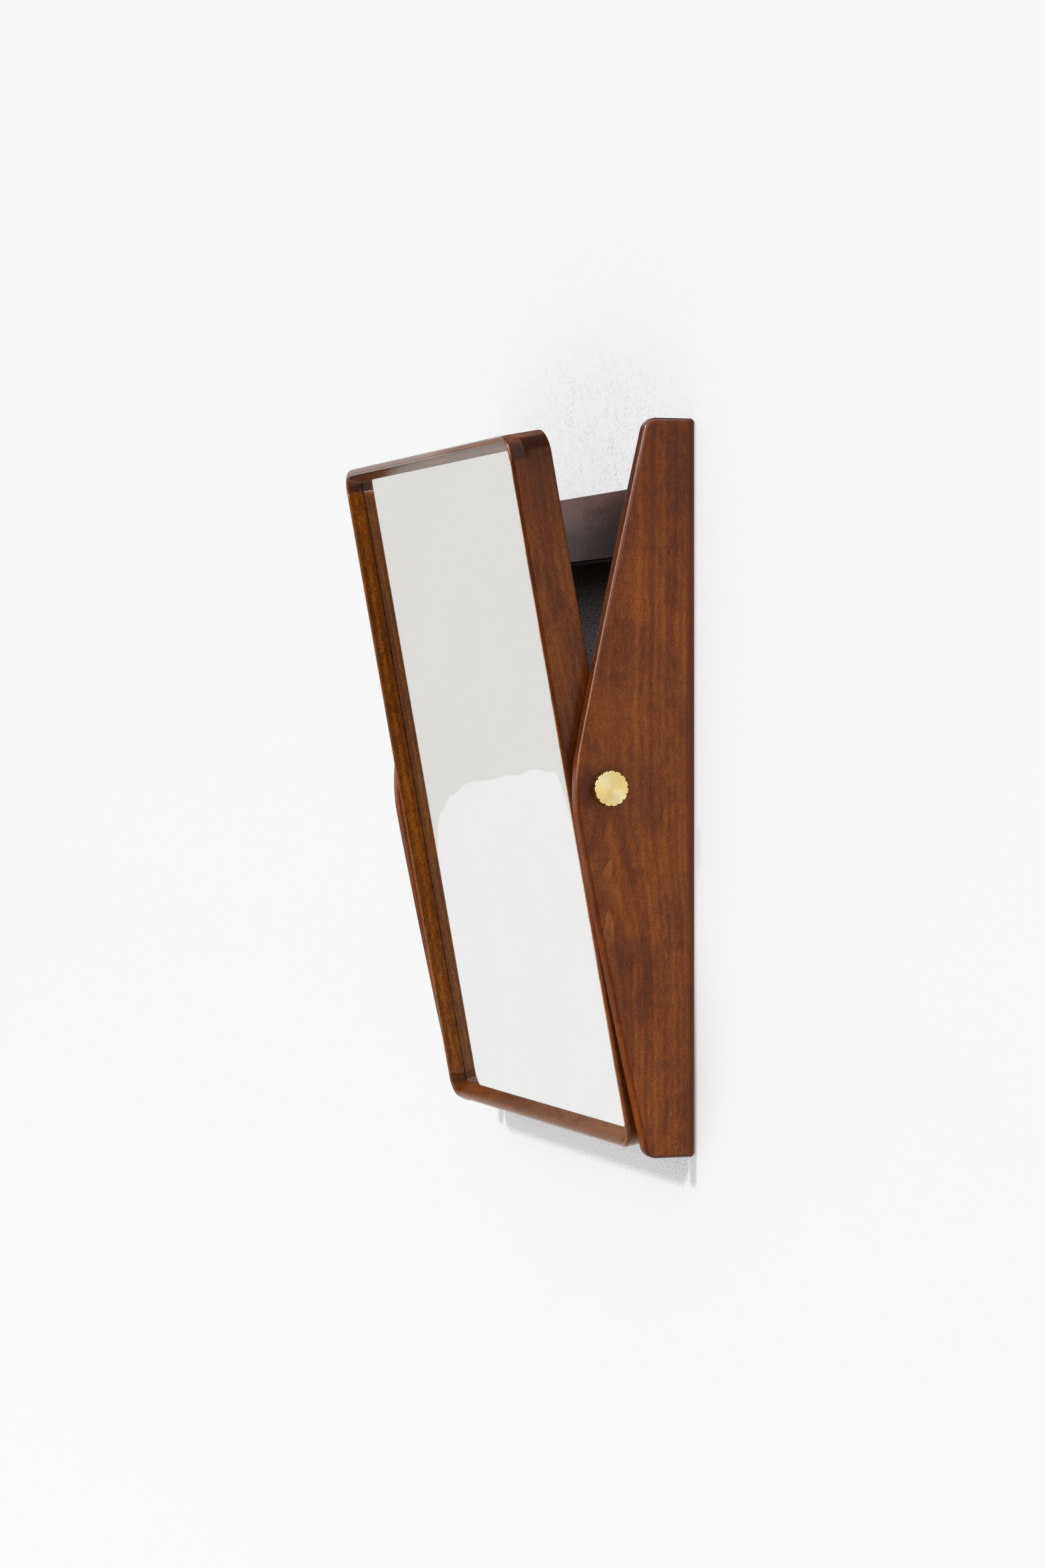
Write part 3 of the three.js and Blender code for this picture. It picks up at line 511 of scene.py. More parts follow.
        # painted highlight: a flecked lilac light band on the rounding in the upper part
        lilac_highlight = t.math("MULTIPLY", t.math("MULTIPLY", t.span(turn, 0.42, 0.68, 0.0, 1.0, True), t.span(turn, 0.998, 0.95, 0.0, 1.0, True)), t.span(g, 40.0, 170.0, 0.0, 0.55, True))
        col = t.mix(t.math("MULTIPLY", lilac_highlight, t.span(fleck, 0.35, 0.65, 0.5, 1.3)), col, (0.235, 0.125, 0.118))
        # painted shade along the back edge, next to the wall
        col = t.mix(t.math("MULTIPLY", wall_shade, 0.74), col, (0.066, 0.0190, 0.0085))
    if nose:                                             # painted shade on the moulding: darker outer turn, a dark centre line on the front, dark lines at the inner fold, and the inner face darker towards the lip
        axis, sign, rim_g, mid_g, fold_g, deep_g, lip_g = nose[:7]
        comps = t.split(t.coords("Normal"))
        out_c = t.math("MULTIPLY", comps[axis], float(sign))
        front = t.math("MULTIPLY", comps[1], -1.0)
        rim = t.math("MULTIPLY", t.span(out_c, 0.62, 0.82, 0.0, 1.0, True), t.span(front, 0.0, 0.12, 0.0, 1.0, True))
        mid = t.math("MULTIPLY", t.span(t.math("ABSOLUTE", t.math("ADD", out_c, 0.06)), 0.26, 0.06, 0.0, 1.0, True), t.span(front, 0.80, 0.95, 0.0, 1.0, True))
        fold = t.math("MULTIPLY", t.span(out_c, -0.68, -0.78, 0.0, 1.0, True), t.span(front, 0.2, 0.45, 0.0, 1.0, True))
        depth = t.split(p)[1]
        inner = t.span(out_c, -0.70, -0.80, 0.0, 1.0, True)
        deep = t.math("MULTIPLY", t.math("MULTIPLY", fold, t.span(depth, -23.0, -19.5, 1.0, 0.0, True)), deep_g)
        # painted shade: the inner face darkens towards the lip
        lip_shade = t.math("MULTIPLY", t.math("MULTIPLY", inner, t.span(depth, -21.0, -14.5, 0.0, 1.0, True)), lip_g)
        fold_line = t.math("MULTIPLY", t.math("MULTIPLY", fold, t.span(depth, -22.9, -22.3, 1.0, 0.0, True)), fold_g)
        if grey:                                         # painted reflection: the front of the rail is greyed as if it mirrored the pale room, on the top rail weaker towards the right
            col = t.mix(t.math("MULTIPLY", t.math("MULTIPLY", t.span(front, 0.22, 0.45, 0.0, 1.0, True), t.math("MULTIPLY", t.span(out_c, -0.84, -0.74, 0.0, 1.0, True), t.math("MULTIPLY", t.span(t.math("ABSOLUTE", ng), 0.12, 0.40, 1.0, 0.0, True), t.span(g, 10.0, 95.0, 1.0, 0.40 if sign > 0 else 1.0, True)))), grey[1]), col,
                        t.mix(t.span(fleck, 0.35, 0.65, 0.0, 1.0), tuple(0.82 * c for c in grey[0]), tuple(1.16 * c for c in grey[0])))
        dark = t.mix(1.0, col, (0.36, 0.34, 0.42), "MULTIPLY")
        if axis == 2 and sign < 0:                       # the lower fillets are worn matt
            worn_in = t.math("MULTIPLY", t.span(t.math("ABSOLUTE", g), 176.0, 190.0, 0.0, 1.0, True), t.span(out_c, -0.10, -0.45, 0.0, 1.0, True))
            coat = t.math("MULTIPLY_ADD", worn_in, -0.80 * coat, coat)
        # painted shade: a dark band across the inner face, where there is no joint
        inner_dark_band = t.math("MULTIPLY", t.math("MULTIPLY", inner, t.span(depth, -21.4, -20.4, 1.0, 0.0, True)), fold_g * 1.3)
        for m_, g_ in ((inner_dark_band, 1.0), (rim, rim_g), (mid, mid_g), (fold_line, 1.0), (deep, 1.0), (lip_shade, 1.0)):
            col = t.mix(t.math("MULTIPLY", m_, g_, clamp=True), col, dark)
        if len(nose) > 7:                                # painted shade: the nose is darker above and, low down, its side lies in a painted shadow of the cheek; a painted highlight makes a pale line on its inner turn
            high = t.span(g, 0.0, 130.0, 0.0, 0.75, True)
            zone = t.math("MULTIPLY", t.span(out_c, 0.28, 0.42, 0.0, 1.0, True), t.span(out_c, 0.995, 0.93, 0.0, 1.0, True))
            col = t.mix(t.math("MULTIPLY", zone, high), col, dark)
            coat = t.math("MULTIPLY_ADD", t.math("MULTIPLY", zone, t.span(g, -60.0, 60.0, 0.0, 1.0, True)), -0.70 * coat, coat)
            # painted shadow of the cheek on the stile's side face, low down
            cheek_shadow = t.math("MULTIPLY", t.span(out_c, 0.92, 0.99, 0.0, 1.0, True), t.span(g, -50.0, -150.0, 0.0, 0.80, True))
            col = t.mix(cheek_shadow, col, dark)
            # painted highlight: a pale line along the nose's inner turn, broken up by noise
            inner_turn_glint = t.math("MULTIPLY", t.span(out_c, 0.36, 0.18, 0.0, 1.0, True), t.span(out_c, -0.50, -0.40, 0.0, 1.0, True))
            inner_turn_glint = t.math("MULTIPLY", inner_turn_glint, t.span(t.noise(t.vmath("MULTIPLY", qs, (0.3, 0.3, 0.05)), 1.0, 2.0), 0.35, 0.50, 0.45, 1.0))
            col = t.mix(t.math("MULTIPLY", inner_turn_glint, nose[7]), col, (0.80, 0.62, 0.45))
    for (ca, cb, cg, ra, rg, colour) in marks:          # small knots, nicks and scratches
        e = t.vmath("MULTIPLY", t.vmath("SUBTRACT", t.vmath("ADD", q, t.vmath("MULTIPLY", fine_w, (0.0, 1.5, 1.5))), (ca, cb, cg)), (0.0, 1 / ra, 1 / rg))
        col = t.mix(t.span(t.vmath("LENGTH", e), 0.25, 1.0, 0.85, 0.0, True), col, colour)
    # end grain drinks the stain: darker, violet, with close ring lines and open pores
    end_m = t.math("MULTIPLY", t.span(t.math("ABSOLUTE", ng), 0.60, 0.93, 0.0, 1.0, True), end)
    lines = t.math("SINE", t.math("MULTIPLY_ADD", t.noise(t.vmath("MULTIPLY", qs, (0.10, 0.10, 0.02)), 1.0, 1.0), 5.0,
                                  t.math("MULTIPLY", rho, TAU / 2.1)))
    speck = t.noise(t.vmath("MULTIPLY", qs, (1.9, 1.9, 1.9)), 1.0, 2.0, 0.6)
    ev = t.math("MULTIPLY_ADD", lines, 0.16, t.math("MULTIPLY_ADD", t.math("SUBTRACT", speck, 0.5), 1.3, 0.42))
    ecol = t.ramp(ev, [(0.1, (0.030, 0.0095, 0.0060)), (0.5, (0.072, 0.0210, 0.0115)), (0.95, (0.150, 0.0480, 0.0240))])
    col = t.mix(end_m, col, ecol)
    if saturation != 1.0:
        h = t.node("HueSaturation")
        h.inputs["Saturation"].default_value = saturation
        t.set(h.inputs["Color"], col)
        col = h.outputs[0]
    col = t.mix(1.0, col, tuple(tone * c for c in tint), "MULTIPLY")
    # satin lacquer that sinks a little into the grain
    worn = t.noise(t.vmath("MULTIPLY", qs, (0.02, 0.02, 0.012)), 1.0, 3.0, 0.6)
    r = t.math("MULTIPLY_ADD", t.math("SUBTRACT", hair, 0.5), 0.16, t.span(worn, 0.3, 0.7, 0.42, 0.55))
    height = t.math("MULTIPLY_ADD", pores, -0.9, t.math("MULTIPLY", hair, 0.8))
    height = t.math("MULTIPLY_ADD", t.math("MULTIPLY", speck, end_m), 0.8, height)
    nb = t.bump(height, 0.00006, 0.5)
    orange = t.noise(t.vmath("MULTIPLY", qs, (0.35, 0.35, 0.12)), 1.0, 2.0, 0.5)
    nb2 = t.bump(t.math("MULTIPLY_ADD", pores, -0.35, t.math("MULTIPLY_ADD", fleck, 0.25 * (skin - 1.0), orange)), 0.00008, 0.5)
    if bare_shaded_under:                                        # the underside has no coat and is rough, and its colour is painted nearly black as shade
        coat = t.span(nz, -0.30, -0.06, 0.0, coat, True)
        r = t.math("MAXIMUM", r, t.span(nz, -0.06, -0.30, 0.0, 1.0, True))
        col = t.mix(t.span(nz, -0.08, -0.40, 0.0, 0.94, True), col, (0.004, 0.003, 0.003))
    s = t.principled(Base_Color=col, Roughness=r, IOR=1.5, Specular_IOR_Level=0.02, Coat_Weight=coat, Coat_Roughness=coat_rough, Coat_IOR=1.30, Normal=nb)
    t.set(s.inputs["Coat Normal"], nb2)
    return t.mat


def brass(name, axis=None, centre=(0, 0), base=(0.960, 0.775, 0.330), dark=(0.80, 0.57, 0.22), rough=0.24, aged=0.35, aniso=0.0, spoke_glint=0.0):
    """Turned or rolled brass with a thin patina. axis turns the fine tool marks about a line through centre, mm."""
    t = Nodes(name)
    p = t.vmath("SCALE", t.coords(), scale=1000.0)
    x, y, z = t.split(p)
    patina = t.noise(t.vmath("ADD", p, (31.0, 7.0, 13.0)), 0.17, 4.0, 0.6)
    spot = t.noise(p, 0.9, 3.0, 0.65)
    fac = t.math("MULTIPLY_ADD", t.span(spot, 0.55, 0.75, 0.0, 1.0, True), 0.35, t.span(patina, 0.42, 0.72, 0.0, 1.0, True))
    col = t.mix(t.math("MULTIPLY", fac, aged, clamp=True), base, dark)
    if axis == "X":
        u, w, along = t.math("SUBTRACT", y, centre[0]), t.math("SUBTRACT", z, centre[1]), x
        rr = t.math("SQRT", t.math("ADD", t.math("MULTIPLY", u, u), t.math("MULTIPLY", w, w)))
        ringv = t.join(t.math("MULTIPLY", rr, 5.2), t.math("MULTIPLY", along, 5.2), 0.0)
        marks = t.noise(ringv, 1.0, 3.0, 0.75)
        height = marks
        col = t.mix(t.span(marks, 0.3, 0.75, 0.0, 0.22), col, dark)
        if spoke_glint:                                        # painted highlight and painted shade: the turned face is lighter along one pair of spokes and darker along the other
            c2 = t.math("DIVIDE", t.math("MULTIPLY_ADD", w, w, t.math("MULTIPLY", t.math("MULTIPLY", u, u), -1.0)), t.math("MULTIPLY_ADD", rr, rr, 0.6))
            s2 = t.math("DIVIDE", t.math("MULTIPLY", t.math("MULTIPLY", u, w), 2.0), t.math("MULTIPLY_ADD", rr, rr, 0.6))
            lobe = t.math("MULTIPLY_ADD", s2, -0.75, t.math("MULTIPLY", c2, 0.45))
            col = t.mix(t.math("MULTIPLY", t.span(lobe, -0.1, 0.9, 0.0, 1.0, True), spoke_glint), col, (1.0, 0.90, 0.62))
            col = t.mix(t.math("MULTIPLY", t.span(lobe, 0.1, -0.9, 0.0, 1.0, True), spoke_glint * 0.8), col, (0.86, 0.63, 0.24))
    else:
        marks = t.noise(t.vmath("MULTIPLY", p, (6.0, 0.5, 0.5)), 1.0, 2.0, 0.6)
        height = marks
    r = t.math("MULTIPLY_ADD", t.math("SUBTRACT", marks, 0.5), 0.18, t.math("MULTIPLY_ADD", fac, 0.12, rough))
    s = t.principled(Base_Color=col, Metallic=1.0, Roughness=r, Anisotropic=aniso, Normal=t.bump(height, 0.00002, 0.5))
    if aniso and axis:
        tan = t.node("Tangent", direction_type="RADIAL", axis=axis)
        t.set(s.inputs["Tangent"], tan.outputs[0])
    return t.mat


def steel(name, base=(0.56, 0.555, 0.545)):
    t = Nodes(name)
    p = t.vmath("SCALE", t.coords(), scale=1000.0)
    brush = t.noise(t.vmath("MULTIPLY", p, (0.25, 0.25, 7.0)), 1.0, 3.0, 0.6)
    dull = t.noise(p, 0.35, 4.0, 0.6)
    col = t.mix(t.span(dull, 0.45, 0.75, 0.0, 0.55), base, (0.30, 0.285, 0.26))
    r = t.math("MULTIPLY_ADD", t.math("SUBTRACT", brush, 0.5), 0.25, t.span(dull, 0.3, 0.7, 0.30, 0.46))
    t.principled(Base_Color=col, Metallic=1.0, Roughness=r, Normal=t.bump(brush, 0.00002, 0.5))
    return t.mat


def hardboard(name):
    """Pressed fibre board: smooth brown face with felted dark and light fibres."""
    t = Nodes(name)
    p = t.vmath("SCALE", t.coords(), scale=1000.0)
    wob = t.vmath("SCALE", t.vmath("SUBTRACT", t.noise(p, 0.35, 2.0, colour=True), (0.5, 0.5, 0.5)), scale=3.0)
    f1 = t.noise(t.vmath("MULTIPLY", t.vmath("ADD", p, wob), (0.35, 1.0, 2.4)), 1.0, 3.0, 0.65)
    f2 = t.noise(t.vmath("MULTIPLY", t.vmath("ADD", p, wob), (2.4, 1.0, 0.35)), 1.0, 3.0, 0.65)
    cloud = t.noise(p, 0.022, 4.0, 0.6)
    v = t.math("MULTIPLY_ADD", t.math("SUBTRACT", f1, 0.5), 0.9, t.math("MULTIPLY_ADD", t.math("SUBTRACT", f2, 0.5), 0.9, t.span(cloud, 0.3, 0.7, 0.38, 0.62)))
    col = t.ramp(v, [(0.1, (0.070, 0.038, 0.020)), (0.45, (0.165, 0.098, 0.055)), (0.7, (0.230, 0.145, 0.086)), (1.0, (0.33, 0.23, 0.15))])
    r = t.span(f1, 0.3, 0.7, 0.62, 0.80)
    t.principled(Base_Color=col, Roughness=r, Normal=t.bump(v, 0.00007, 0.6))
    return t.mat


def leather(name):
    t = Nodes(name)
    p = t.vmath("SCALE", t.coords(), scale=1000.0)
    cell = t.voronoi(p, 1.6)
    n = t.noise(p, 0.6, 4.0, 0.6)
    col = t.ramp(t.math("MULTIPLY_ADD", cell, -0.35, n), [(0.1, (0.018, 0.010, 0.007)), (0.5, (0.050, 0.028, 0.018)), (0.9, (0.105, 0.062, 0.040))])
    t.principled(Base_Color=col, Roughness=t.span(n, 0.3, 0.7, 0.55, 0.78), Normal=t.bump(cell, 0.00015, 0.6))
    return t.mat


def silvering(name):
    """The silver coat behind the glass, very slightly uneven, grey where it has aged at the rim."""
    t = Nodes(name)
    p = t.vmath("SCALE", t.coords(), scale=1000.0)
    x, y, z = t.split(p)
    ex = t.math("SUBTRACT", HW - 7.3, t.math("ABSOLUTE", x))
    ez = t.math("SUBTRACT", HH - 7.3, t.math("ABSOLUTE", z))
    edge = t.math("MINIMUM", ex, ez)
    n = t.noise(p, 0.12, 4.0, 0.6)
    tarnish = t.span(t.math("MULTIPLY_ADD", n, -2.5, edge), -0.4, 2.6, 1.0, 0.0, True)
    haze = t.noise(p, 0.012, 3.0, 0.5)
    ny = t.split(t.coords("Normal"))[1]
    paint = t.span(ny, -0.85, -0.6, 0.0, 1.0)            # grey lacquer on the rim and the back
    col = t.mix(t.math("MULTIPLY", tarnish, 0.8), t.mix(t.span(haze, 0.35, 0.65, 0.0, 1.0), (0.915, 0.914, 0.900), (0.935, 0.934, 0.920)), (0.20, 0.19, 0.17))
    col = t.mix(paint, col, t.mix(n, (0.10, 0.10, 0.11), (0.16, 0.16, 0.17)))
    r = t.math("MULTIPLY", tarnish, 0.2)
    t.principled(Base_Color=col, Metallic=1.0, Roughness=t.math("MULTIPLY_ADD", paint, 0.5, r), Normal=t.bump(haze, 0.0002, 0.02))
    return t.mat


def glass(name):
    """Clear float glass with the faint green of its iron and a trace of handling on the surface."""
    t = Nodes(name)
    p = t.vmath("SCALE", t.coords(), scale=1000.0)
    smear = t.noise(p, 0.03, 5.0, 0.65)
    col = t.mix(t.span(smear, 0.3, 0.7, 0.0, 1.0), (0.986, 0.989, 0.988), (0.992, 0.993, 0.994))
    t.principled(Base_Color=col, Roughness=0.0, IOR=1.5, Transmission_Weight=1.0)
    return t.mat


def plain(name, colour, rough=0.8):
    t = Nodes(name)
    p = t.vmath("SCALE", t.coords(), scale=1000.0)
    n = t.noise(p, 0.004, 4.0, 0.6)
    t.principled(Base_Color=t.mix(t.span(n, 0.3, 0.7, 0.0, 1.0), tuple(c * 0.985 for c in colour), colour), Roughness=rough)
    return t.mat


def finish_piece(ob, mat, body, slot, *nodes):
    ob.data.materials.clear()
    ob.data.materials.append(mat)
    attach(ob, body)
    if nodes:
        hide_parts(*nodes)
    return ob


# ------------------------------------------------------------------ the wall bracket
def cheek_depth(dz):
    a = abs(dz)
    s = SLOPE / math.hypot(1, SLOPE)
    zb = APEX_R * s
    if a <= zb:
        return APEX - (APEX_R - math.sqrt(APEX_R ** 2 - a * a))
    db = APEX - APEX_R * (1 - math.sqrt(1 - s * s))
    return db - SLOPE * (a - zb) - BOW * (a - zb) ** 2


def cheek_outline(CORNER_R=CORNER_R):
    """(depth, height) going round from the top of the back; depth is negative towards the room."""
    half, r = CHEEK_H / 2, CORNER_R
    slope = (cheek_depth(half - r - 1) - cheek_depth(half - r + 1)) / 2
    tilt = math.atan(slope)
    zc = half - r
    touch = zc + r * math.sin(tilt)
    yc = -cheek_depth(touch) + r * math.cos(tilt)
    pts, radii = [], []
    n = 14
    for i in range(n + 1):
        a = math.pi / 2 + (math.pi / 2 - tilt) * i / n
        pts.append((yc + r * math.cos(a), zc + r * math.sin(a)))
    zs = [z for z in np.linspace(touch - 4, -touch + 4, 104)]
    pts += [(-cheek_depth(z), z) for z in zs]
    for i in range(n, -1, -1):
        a = math.pi / 2 + (math.pi / 2 - tilt) * i / n
        pts.append((yc + r * math.cos(a), -(zc + r * math.sin(a))))
    front = len(pts)
    rc = 3.3                                                  # soft corners at the back
    low = [(x, -half) for x in np.linspace(yc + 4, -rc - 1, 5)]
    arc = [(-rc + rc * math.sin(a), -half + rc - rc * math.cos(a)) for a in np.linspace(0, math.pi / 2, 9)]
    pts += low + arc
    pts += [(0.0, z) for z in np.linspace(-half + rc + 2, half - rc - 2, 70)]
    pts += [(x, -z) for x, z in reversed(arc)] + [(x, -z) for x, z in reversed(low)]
    outer = [ROUND if y < -3.4 else 2.5 for y, z in pts]
    inner = [ROUND if y < -3.4 else 1.0 for y, z in pts]
    return pts, outer, inner


def soft_board(outline, t0, t1, r0, r1, put, steps=8, lead=0.25):
    """board() with extra rings beside the flats, so that only the rounded edges turn."""
    r0 = np.asarray(r0, float) * np.ones(len(outline))
    r1 = np.asarray(r1, float) * np.ones(len(outline))
    rings = []
    o = outline_offset(outline, r0 + 0.35)
    rings.append([put(u, w, t0) for u, w in o])
    for k in range(steps + 1):
        a = math.pi / 2 * k / steps
        o = outline_offset(outline, r0 * (1 - math.sin(a)))
        rings.append([put(u, w, t0 + r * (1 - math.cos(a))) for (u, w), r in zip(o, r0)])
    rings.append([put(u, w, t0 + r + lead) for (u, w), r in zip(outline, r0)])
    rings.append([put(u, w, t1 - r - lead) for (u, w), r in zip(outline, r1)])
    for k in range(steps, -1, -1):
        a = math.pi / 2 * k / steps
        o = outline_offset(outline, r1 * (1 - math.sin(a)))
        rings.append([put(u, w, t1 - r * (1 - math.cos(a))) for (u, w), r in zip(o, r1)])
    o = outline_offset(outline, r1 + 0.35)
    rings.append([put(u, w, t1) for u, w in o])
    return loft(rings)


def build_cheek(side):
    name = "right" if side > 0 else "left"
    pts, outer, inner = cheek_outline(CORNER_R if side > 0 else 15.0)
    put = lambda u, w, t: (side * t, u, w)
    ob = make(name + "_cheek_board", soft_board(pts, CHEEK_X - CHEEK_T, CHEEK_X, inner, outer, put), BRACKET)
    cut = Geo()
    x0, x1 = sorted((side * (CHEEK_X - CHEEK_T - 2), side * (CHEEK_X + 2)))
    cut.join(rod("X", x0, x1, 6.05, (PIVOT_Y, 0), 48))
    for zr in (RAIL_OFF, -RAIL_OFF):
        for d in (-14, 14):
            x0, x1 = sorted((side * (CHEEK_X - CHEEK_T - 2), side * (CHEEK_X - CHEEK_T + 8.3)))
            cut.join(rod("X", x0, x1, 3.08, (-RAIL_T / 2, zr + d), 24))
    carve(ob, cut)
    tidy(ob)
    return shade(ob, 40)


def build_bush(side):
    a, b = CHEEK_X - CHEEK_T + 0.3, CHEEK_X - 0.3
    prof = [(6.0, a + 0.35), (5.65, a), (3.8, a), (3.45, a + 0.35), (3.45, b - 0.35), (3.8, b), (5.65, b), (6.0, b - 0.35),
            (6.0, (a + b) / 2 + 0.5), (5.85, (a + b) / 2 + 0.25), (5.85, (a + b) / 2 - 0.25), (6.0, (a + b) / 2 - 0.5)]
    ob = make(("right" if side > 0 else "left") + "_bush_turned", lathe("X", [(r, side * t) for r, t in prof], (PIVOT_Y, 0), 64, True), BRACKET)
    return shade(ob, 25)


def keyhole_outline(hole, slot, drop, n=20):
    a = math.asin(slot / hole)
    pts = [(hole * math.sin(t), -drop - hole * math.cos(t)) for t in np.linspace(-(math.pi - a), math.pi - a, 2 * n)]
    pts += [(slot * math.cos(t), drop + slot * math.sin(t)) for t in np.linspace(0, math.pi, n)]
    return pts


def prism(pts, y0, y1, x=0, z=0):
    g = Geo()
    n = len(pts)
    v = [(a + x, y0, b + z) for a, b in pts] + [(a + x, y1, b + z) for a, b in pts]
    f = [tuple(range(n))[::-1], tuple(range(n, 2 * n))] + [(i, (i + 1) % n, n + (i + 1) % n, n + i) for i in range(n)]
    return g.add(v, f)


def build_rail(upper):
    zr = RAIL_OFF if upper else -RAIL_OFF
    h, t, c = RAIL_H / 2, RAIL_T, 1.3
    sec = fillet([(0, zr - h), (0, zr + h), (-t, zr + h), (-t, zr - h)], [0.7, 0.7, c, c], 5)
    # points beside the rounded edges keep the flats flat
    dense = []
    for i, p in enumerate(sec):
        q = sec[(i + 1) % len(sec)]
        dense.append(p)
        d = math.hypot(q[0] - p[0], q[1] - p[1])
        if d > 3:
            for f in (0.3 / d, 1 - 0.3 / d):
                dense.append((p[0] + (q[0] - p[0]) * f, p[1] + (q[1] - p[1]) * f))
    xs = [-RAIL_END, -RAIL_END + 0.12, -RAIL_END + 0.3] + list(np.linspace(-RAIL_END + 1, RAIL_END - 1, 24)) + [RAIL_END - 0.3, RAIL_END - 0.12, RAIL_END]
    rings = []
    cy, cz = -t / 2, zr
    for i, x in enumerate(xs):
        inset = (0.18, 0.05, 0.0)[min(i, len(xs) - 1 - i, 2)]
        o = outline_offset(dense, inset) if inset else dense
        rings.append([(x, p[0], p[1]) for p in o])
    ob = make(("upper" if upper else "lower") + "_rail_board", loft(rings), BRACKET)
    cut = Geo()
    for side in (1, -1):
        for d in (-14, 14):
            x0, x1 = sorted((side * (192 - 0.3), side * 208))
            cut.join(rod("X", x0, x1, 3.08, (-t / 2, zr + d), 24))
    carve(ob, cut)
    if upper:
        seat, deep = Geo(), Geo()
        for side in (1, -1):
            x = side * 150
            seat.join(prism(rounded_rect(8.15, 21.15, 3.15), -2.3, 2, x, zr))
            deep.join(box(x - 6, x + 6, -10, 1, zr - 14, zr + 11.6))
            for d in (-17, 17):
                deep.join(rod("Y", -11, 0, 1.45, (x, zr + d), 16))
        carve(ob, seat)
        carve(ob, deep)
    tidy(ob)
    return shade(ob, 40)


def build_dowel(upper, side, d):
    zr = (RAIL_OFF if upper else -RAIL_OFF) + d
    n, rows = 60, [(2.2, 192), (3.0, 192.8), (3.0, 193.2), (3.0, 203), (3.0, 212.8), (3.0, 213.2), (2.2, 214)]
    g = Geo()
    verts, faces = [], []
    for r, t in rows:
        for i in range(n):
            a = TAU * i / n
            k = r - 0.14 * max(0.0, math.cos(12 * a)) ** 3
            verts.append(place("X", k, side * t, a, (-RAIL_T / 2, zr)))
    for k in range(len(rows) - 1):
        for i in range(n):
            j = (i + 1) % n
            faces.append((k * n + i, k * n + j, (k + 1) * n + j, (k + 1) * n + i))
    faces += [tuple(range(n)), tuple(range((len(rows) - 1) * n, len(rows) * n))[::-1]]
    g.add(verts, faces)
    ob = make("%s_dowel_%s_%s_fluted" % ("upper" if upper else "lower", "right" if side > 0 else "left", "top" if d > 0 else "bottom"), g, BRACKET)
    return shade(ob, 35)


def build_hanger(side):
    x = side * 150
    plate = soft_board(rounded_rect(8.0, 21.0, 3.0, 8), -2.0, 0.0, 0.25, 0.35, lambda u, w, t: (x + u, t, RAIL_OFF + w), 3)
    ob = make(("right" if side > 0 else "left") + "_hanger_plate", plate, BRACKET)
    cut = prism(keyhole_outline(5.0, 2.6, 8.0), -3, 1, x, RAIL_OFF)
    for d in (-17, 17):
        cut.join(lathe("Y", [(0, -3), (1.6, -3), (1.6, -1.75), (2.75, -0.3), (2.75, 1), (0, 1)], (x, RAIL_OFF + d), 28))
    carve(ob, cut)
    tidy(ob)
    return shade(ob, 30)


def threaded(axis, put, t0, t1, r, pitch, depth, sides=40, per=8, taper=None, chamfer=0.6):
    """A helical thread: rows of points whose radius follows the angle. put(radius, along, angle) places a point."""
    length = t1 - t0
    n = max(8, int(per * abs(length) / pitch))
    g = Geo()
    verts, faces = [], []
    for k in range(n + 1):
        t = t0 + length * k / n
        edge = min(abs(t - t0), abs(t1 - t))
        for i in range(sides):
            a = TAU * i / sides
            ph = (t / pitch - i / sides) % 1.0
            v = abs(2 * ph - 1)
            v = min(1.0, max(0.0, (v - 0.12) / 0.76))
            rr = r - depth * v
            rr = min(rr, r - max(0.0, chamfer - edge))
            if taper:
                rr = max(0.25, rr * taper(abs(t - t0) / abs(length)))
            verts.append(put(rr, t, a))
    for k in range(n):
        for i in range(sides):
            j = (i + 1) % sides
            faces.append((k * sides + i, k * sides + j, (k + 1) * sides + j, (k + 1) * sides + i))
    faces += [tuple(range(sides)), tuple(range(n * sides, (n + 1) * sides))[::-1]]
    return g.add(verts, faces)


def screw(name, axis, c, head_t, out, length, head_r, shank_r, base, tilt=0.0, recess=1.6, slot_dir="X"):
    """A countersunk slotted wood screw. out is +1 or -1, the way the head faces along the axis."""
    put = lambda r, t, a: place(axis, r, head_t - out * t, a, c)
    n = 40
    rows = [(0, 0.0), (head_r - 0.12, 0.0), (head_r, 0.1), (head_r, 0.3), (shank_r + 0.12, recess - 0.1), (shank_r, recess)]
    body_n = 72
    pitch = 1.1
    verts, faces = [], []
    g = Geo()
    prof = rows[1:]
    for r, t in prof:
        verts += [put(r, t, TAU * i / n) for i in range(n)]
    for k in range(body_n + 1):
        t = recess + 0.4 + (length - recess - 0.4) * k / body_n
        f = (length - t) / 2.2
        for i in range(n):
            ph = (t / pitch - i / n) % 1.0
            v = max(0.0, 1 - abs(2 * ph - 1) * 2.2)
            rr = shank_r * 0.74 + shank_r * 0.26 * v
            verts.append(put(max(0.12, rr * min(1.0, f) if f < 1 else rr), t, TAU * i / n))
    total = len(prof) + body_n + 1
    for k in range(total - 1):
        for i in range(n):
            j = (i + 1) % n
            faces.append((k * n + i, k * n + j, (k + 1) * n + j, (k + 1) * n + i))
    faces += [tuple(range(n)), tuple(range((total - 1) * n, total * n))[::-1]]
    g.add(verts, faces)
    ob = make(name, g, base, tilt)
    lo, hi = sorted((head_t - out * 0.75, head_t + out * 1.0))
    w, l = 0.30, head_r + 1
    if axis == "Y":
        cut = box(c[0] - l, c[0] + l, lo, hi, c[1] - w, c[1] + w)
    else:
        cut = box(lo, hi, c[0] - w, c[0] + w, c[1] - l, c[1] + l)
    carve(ob, cut)
    tidy(ob)
    return shade(ob, 35)


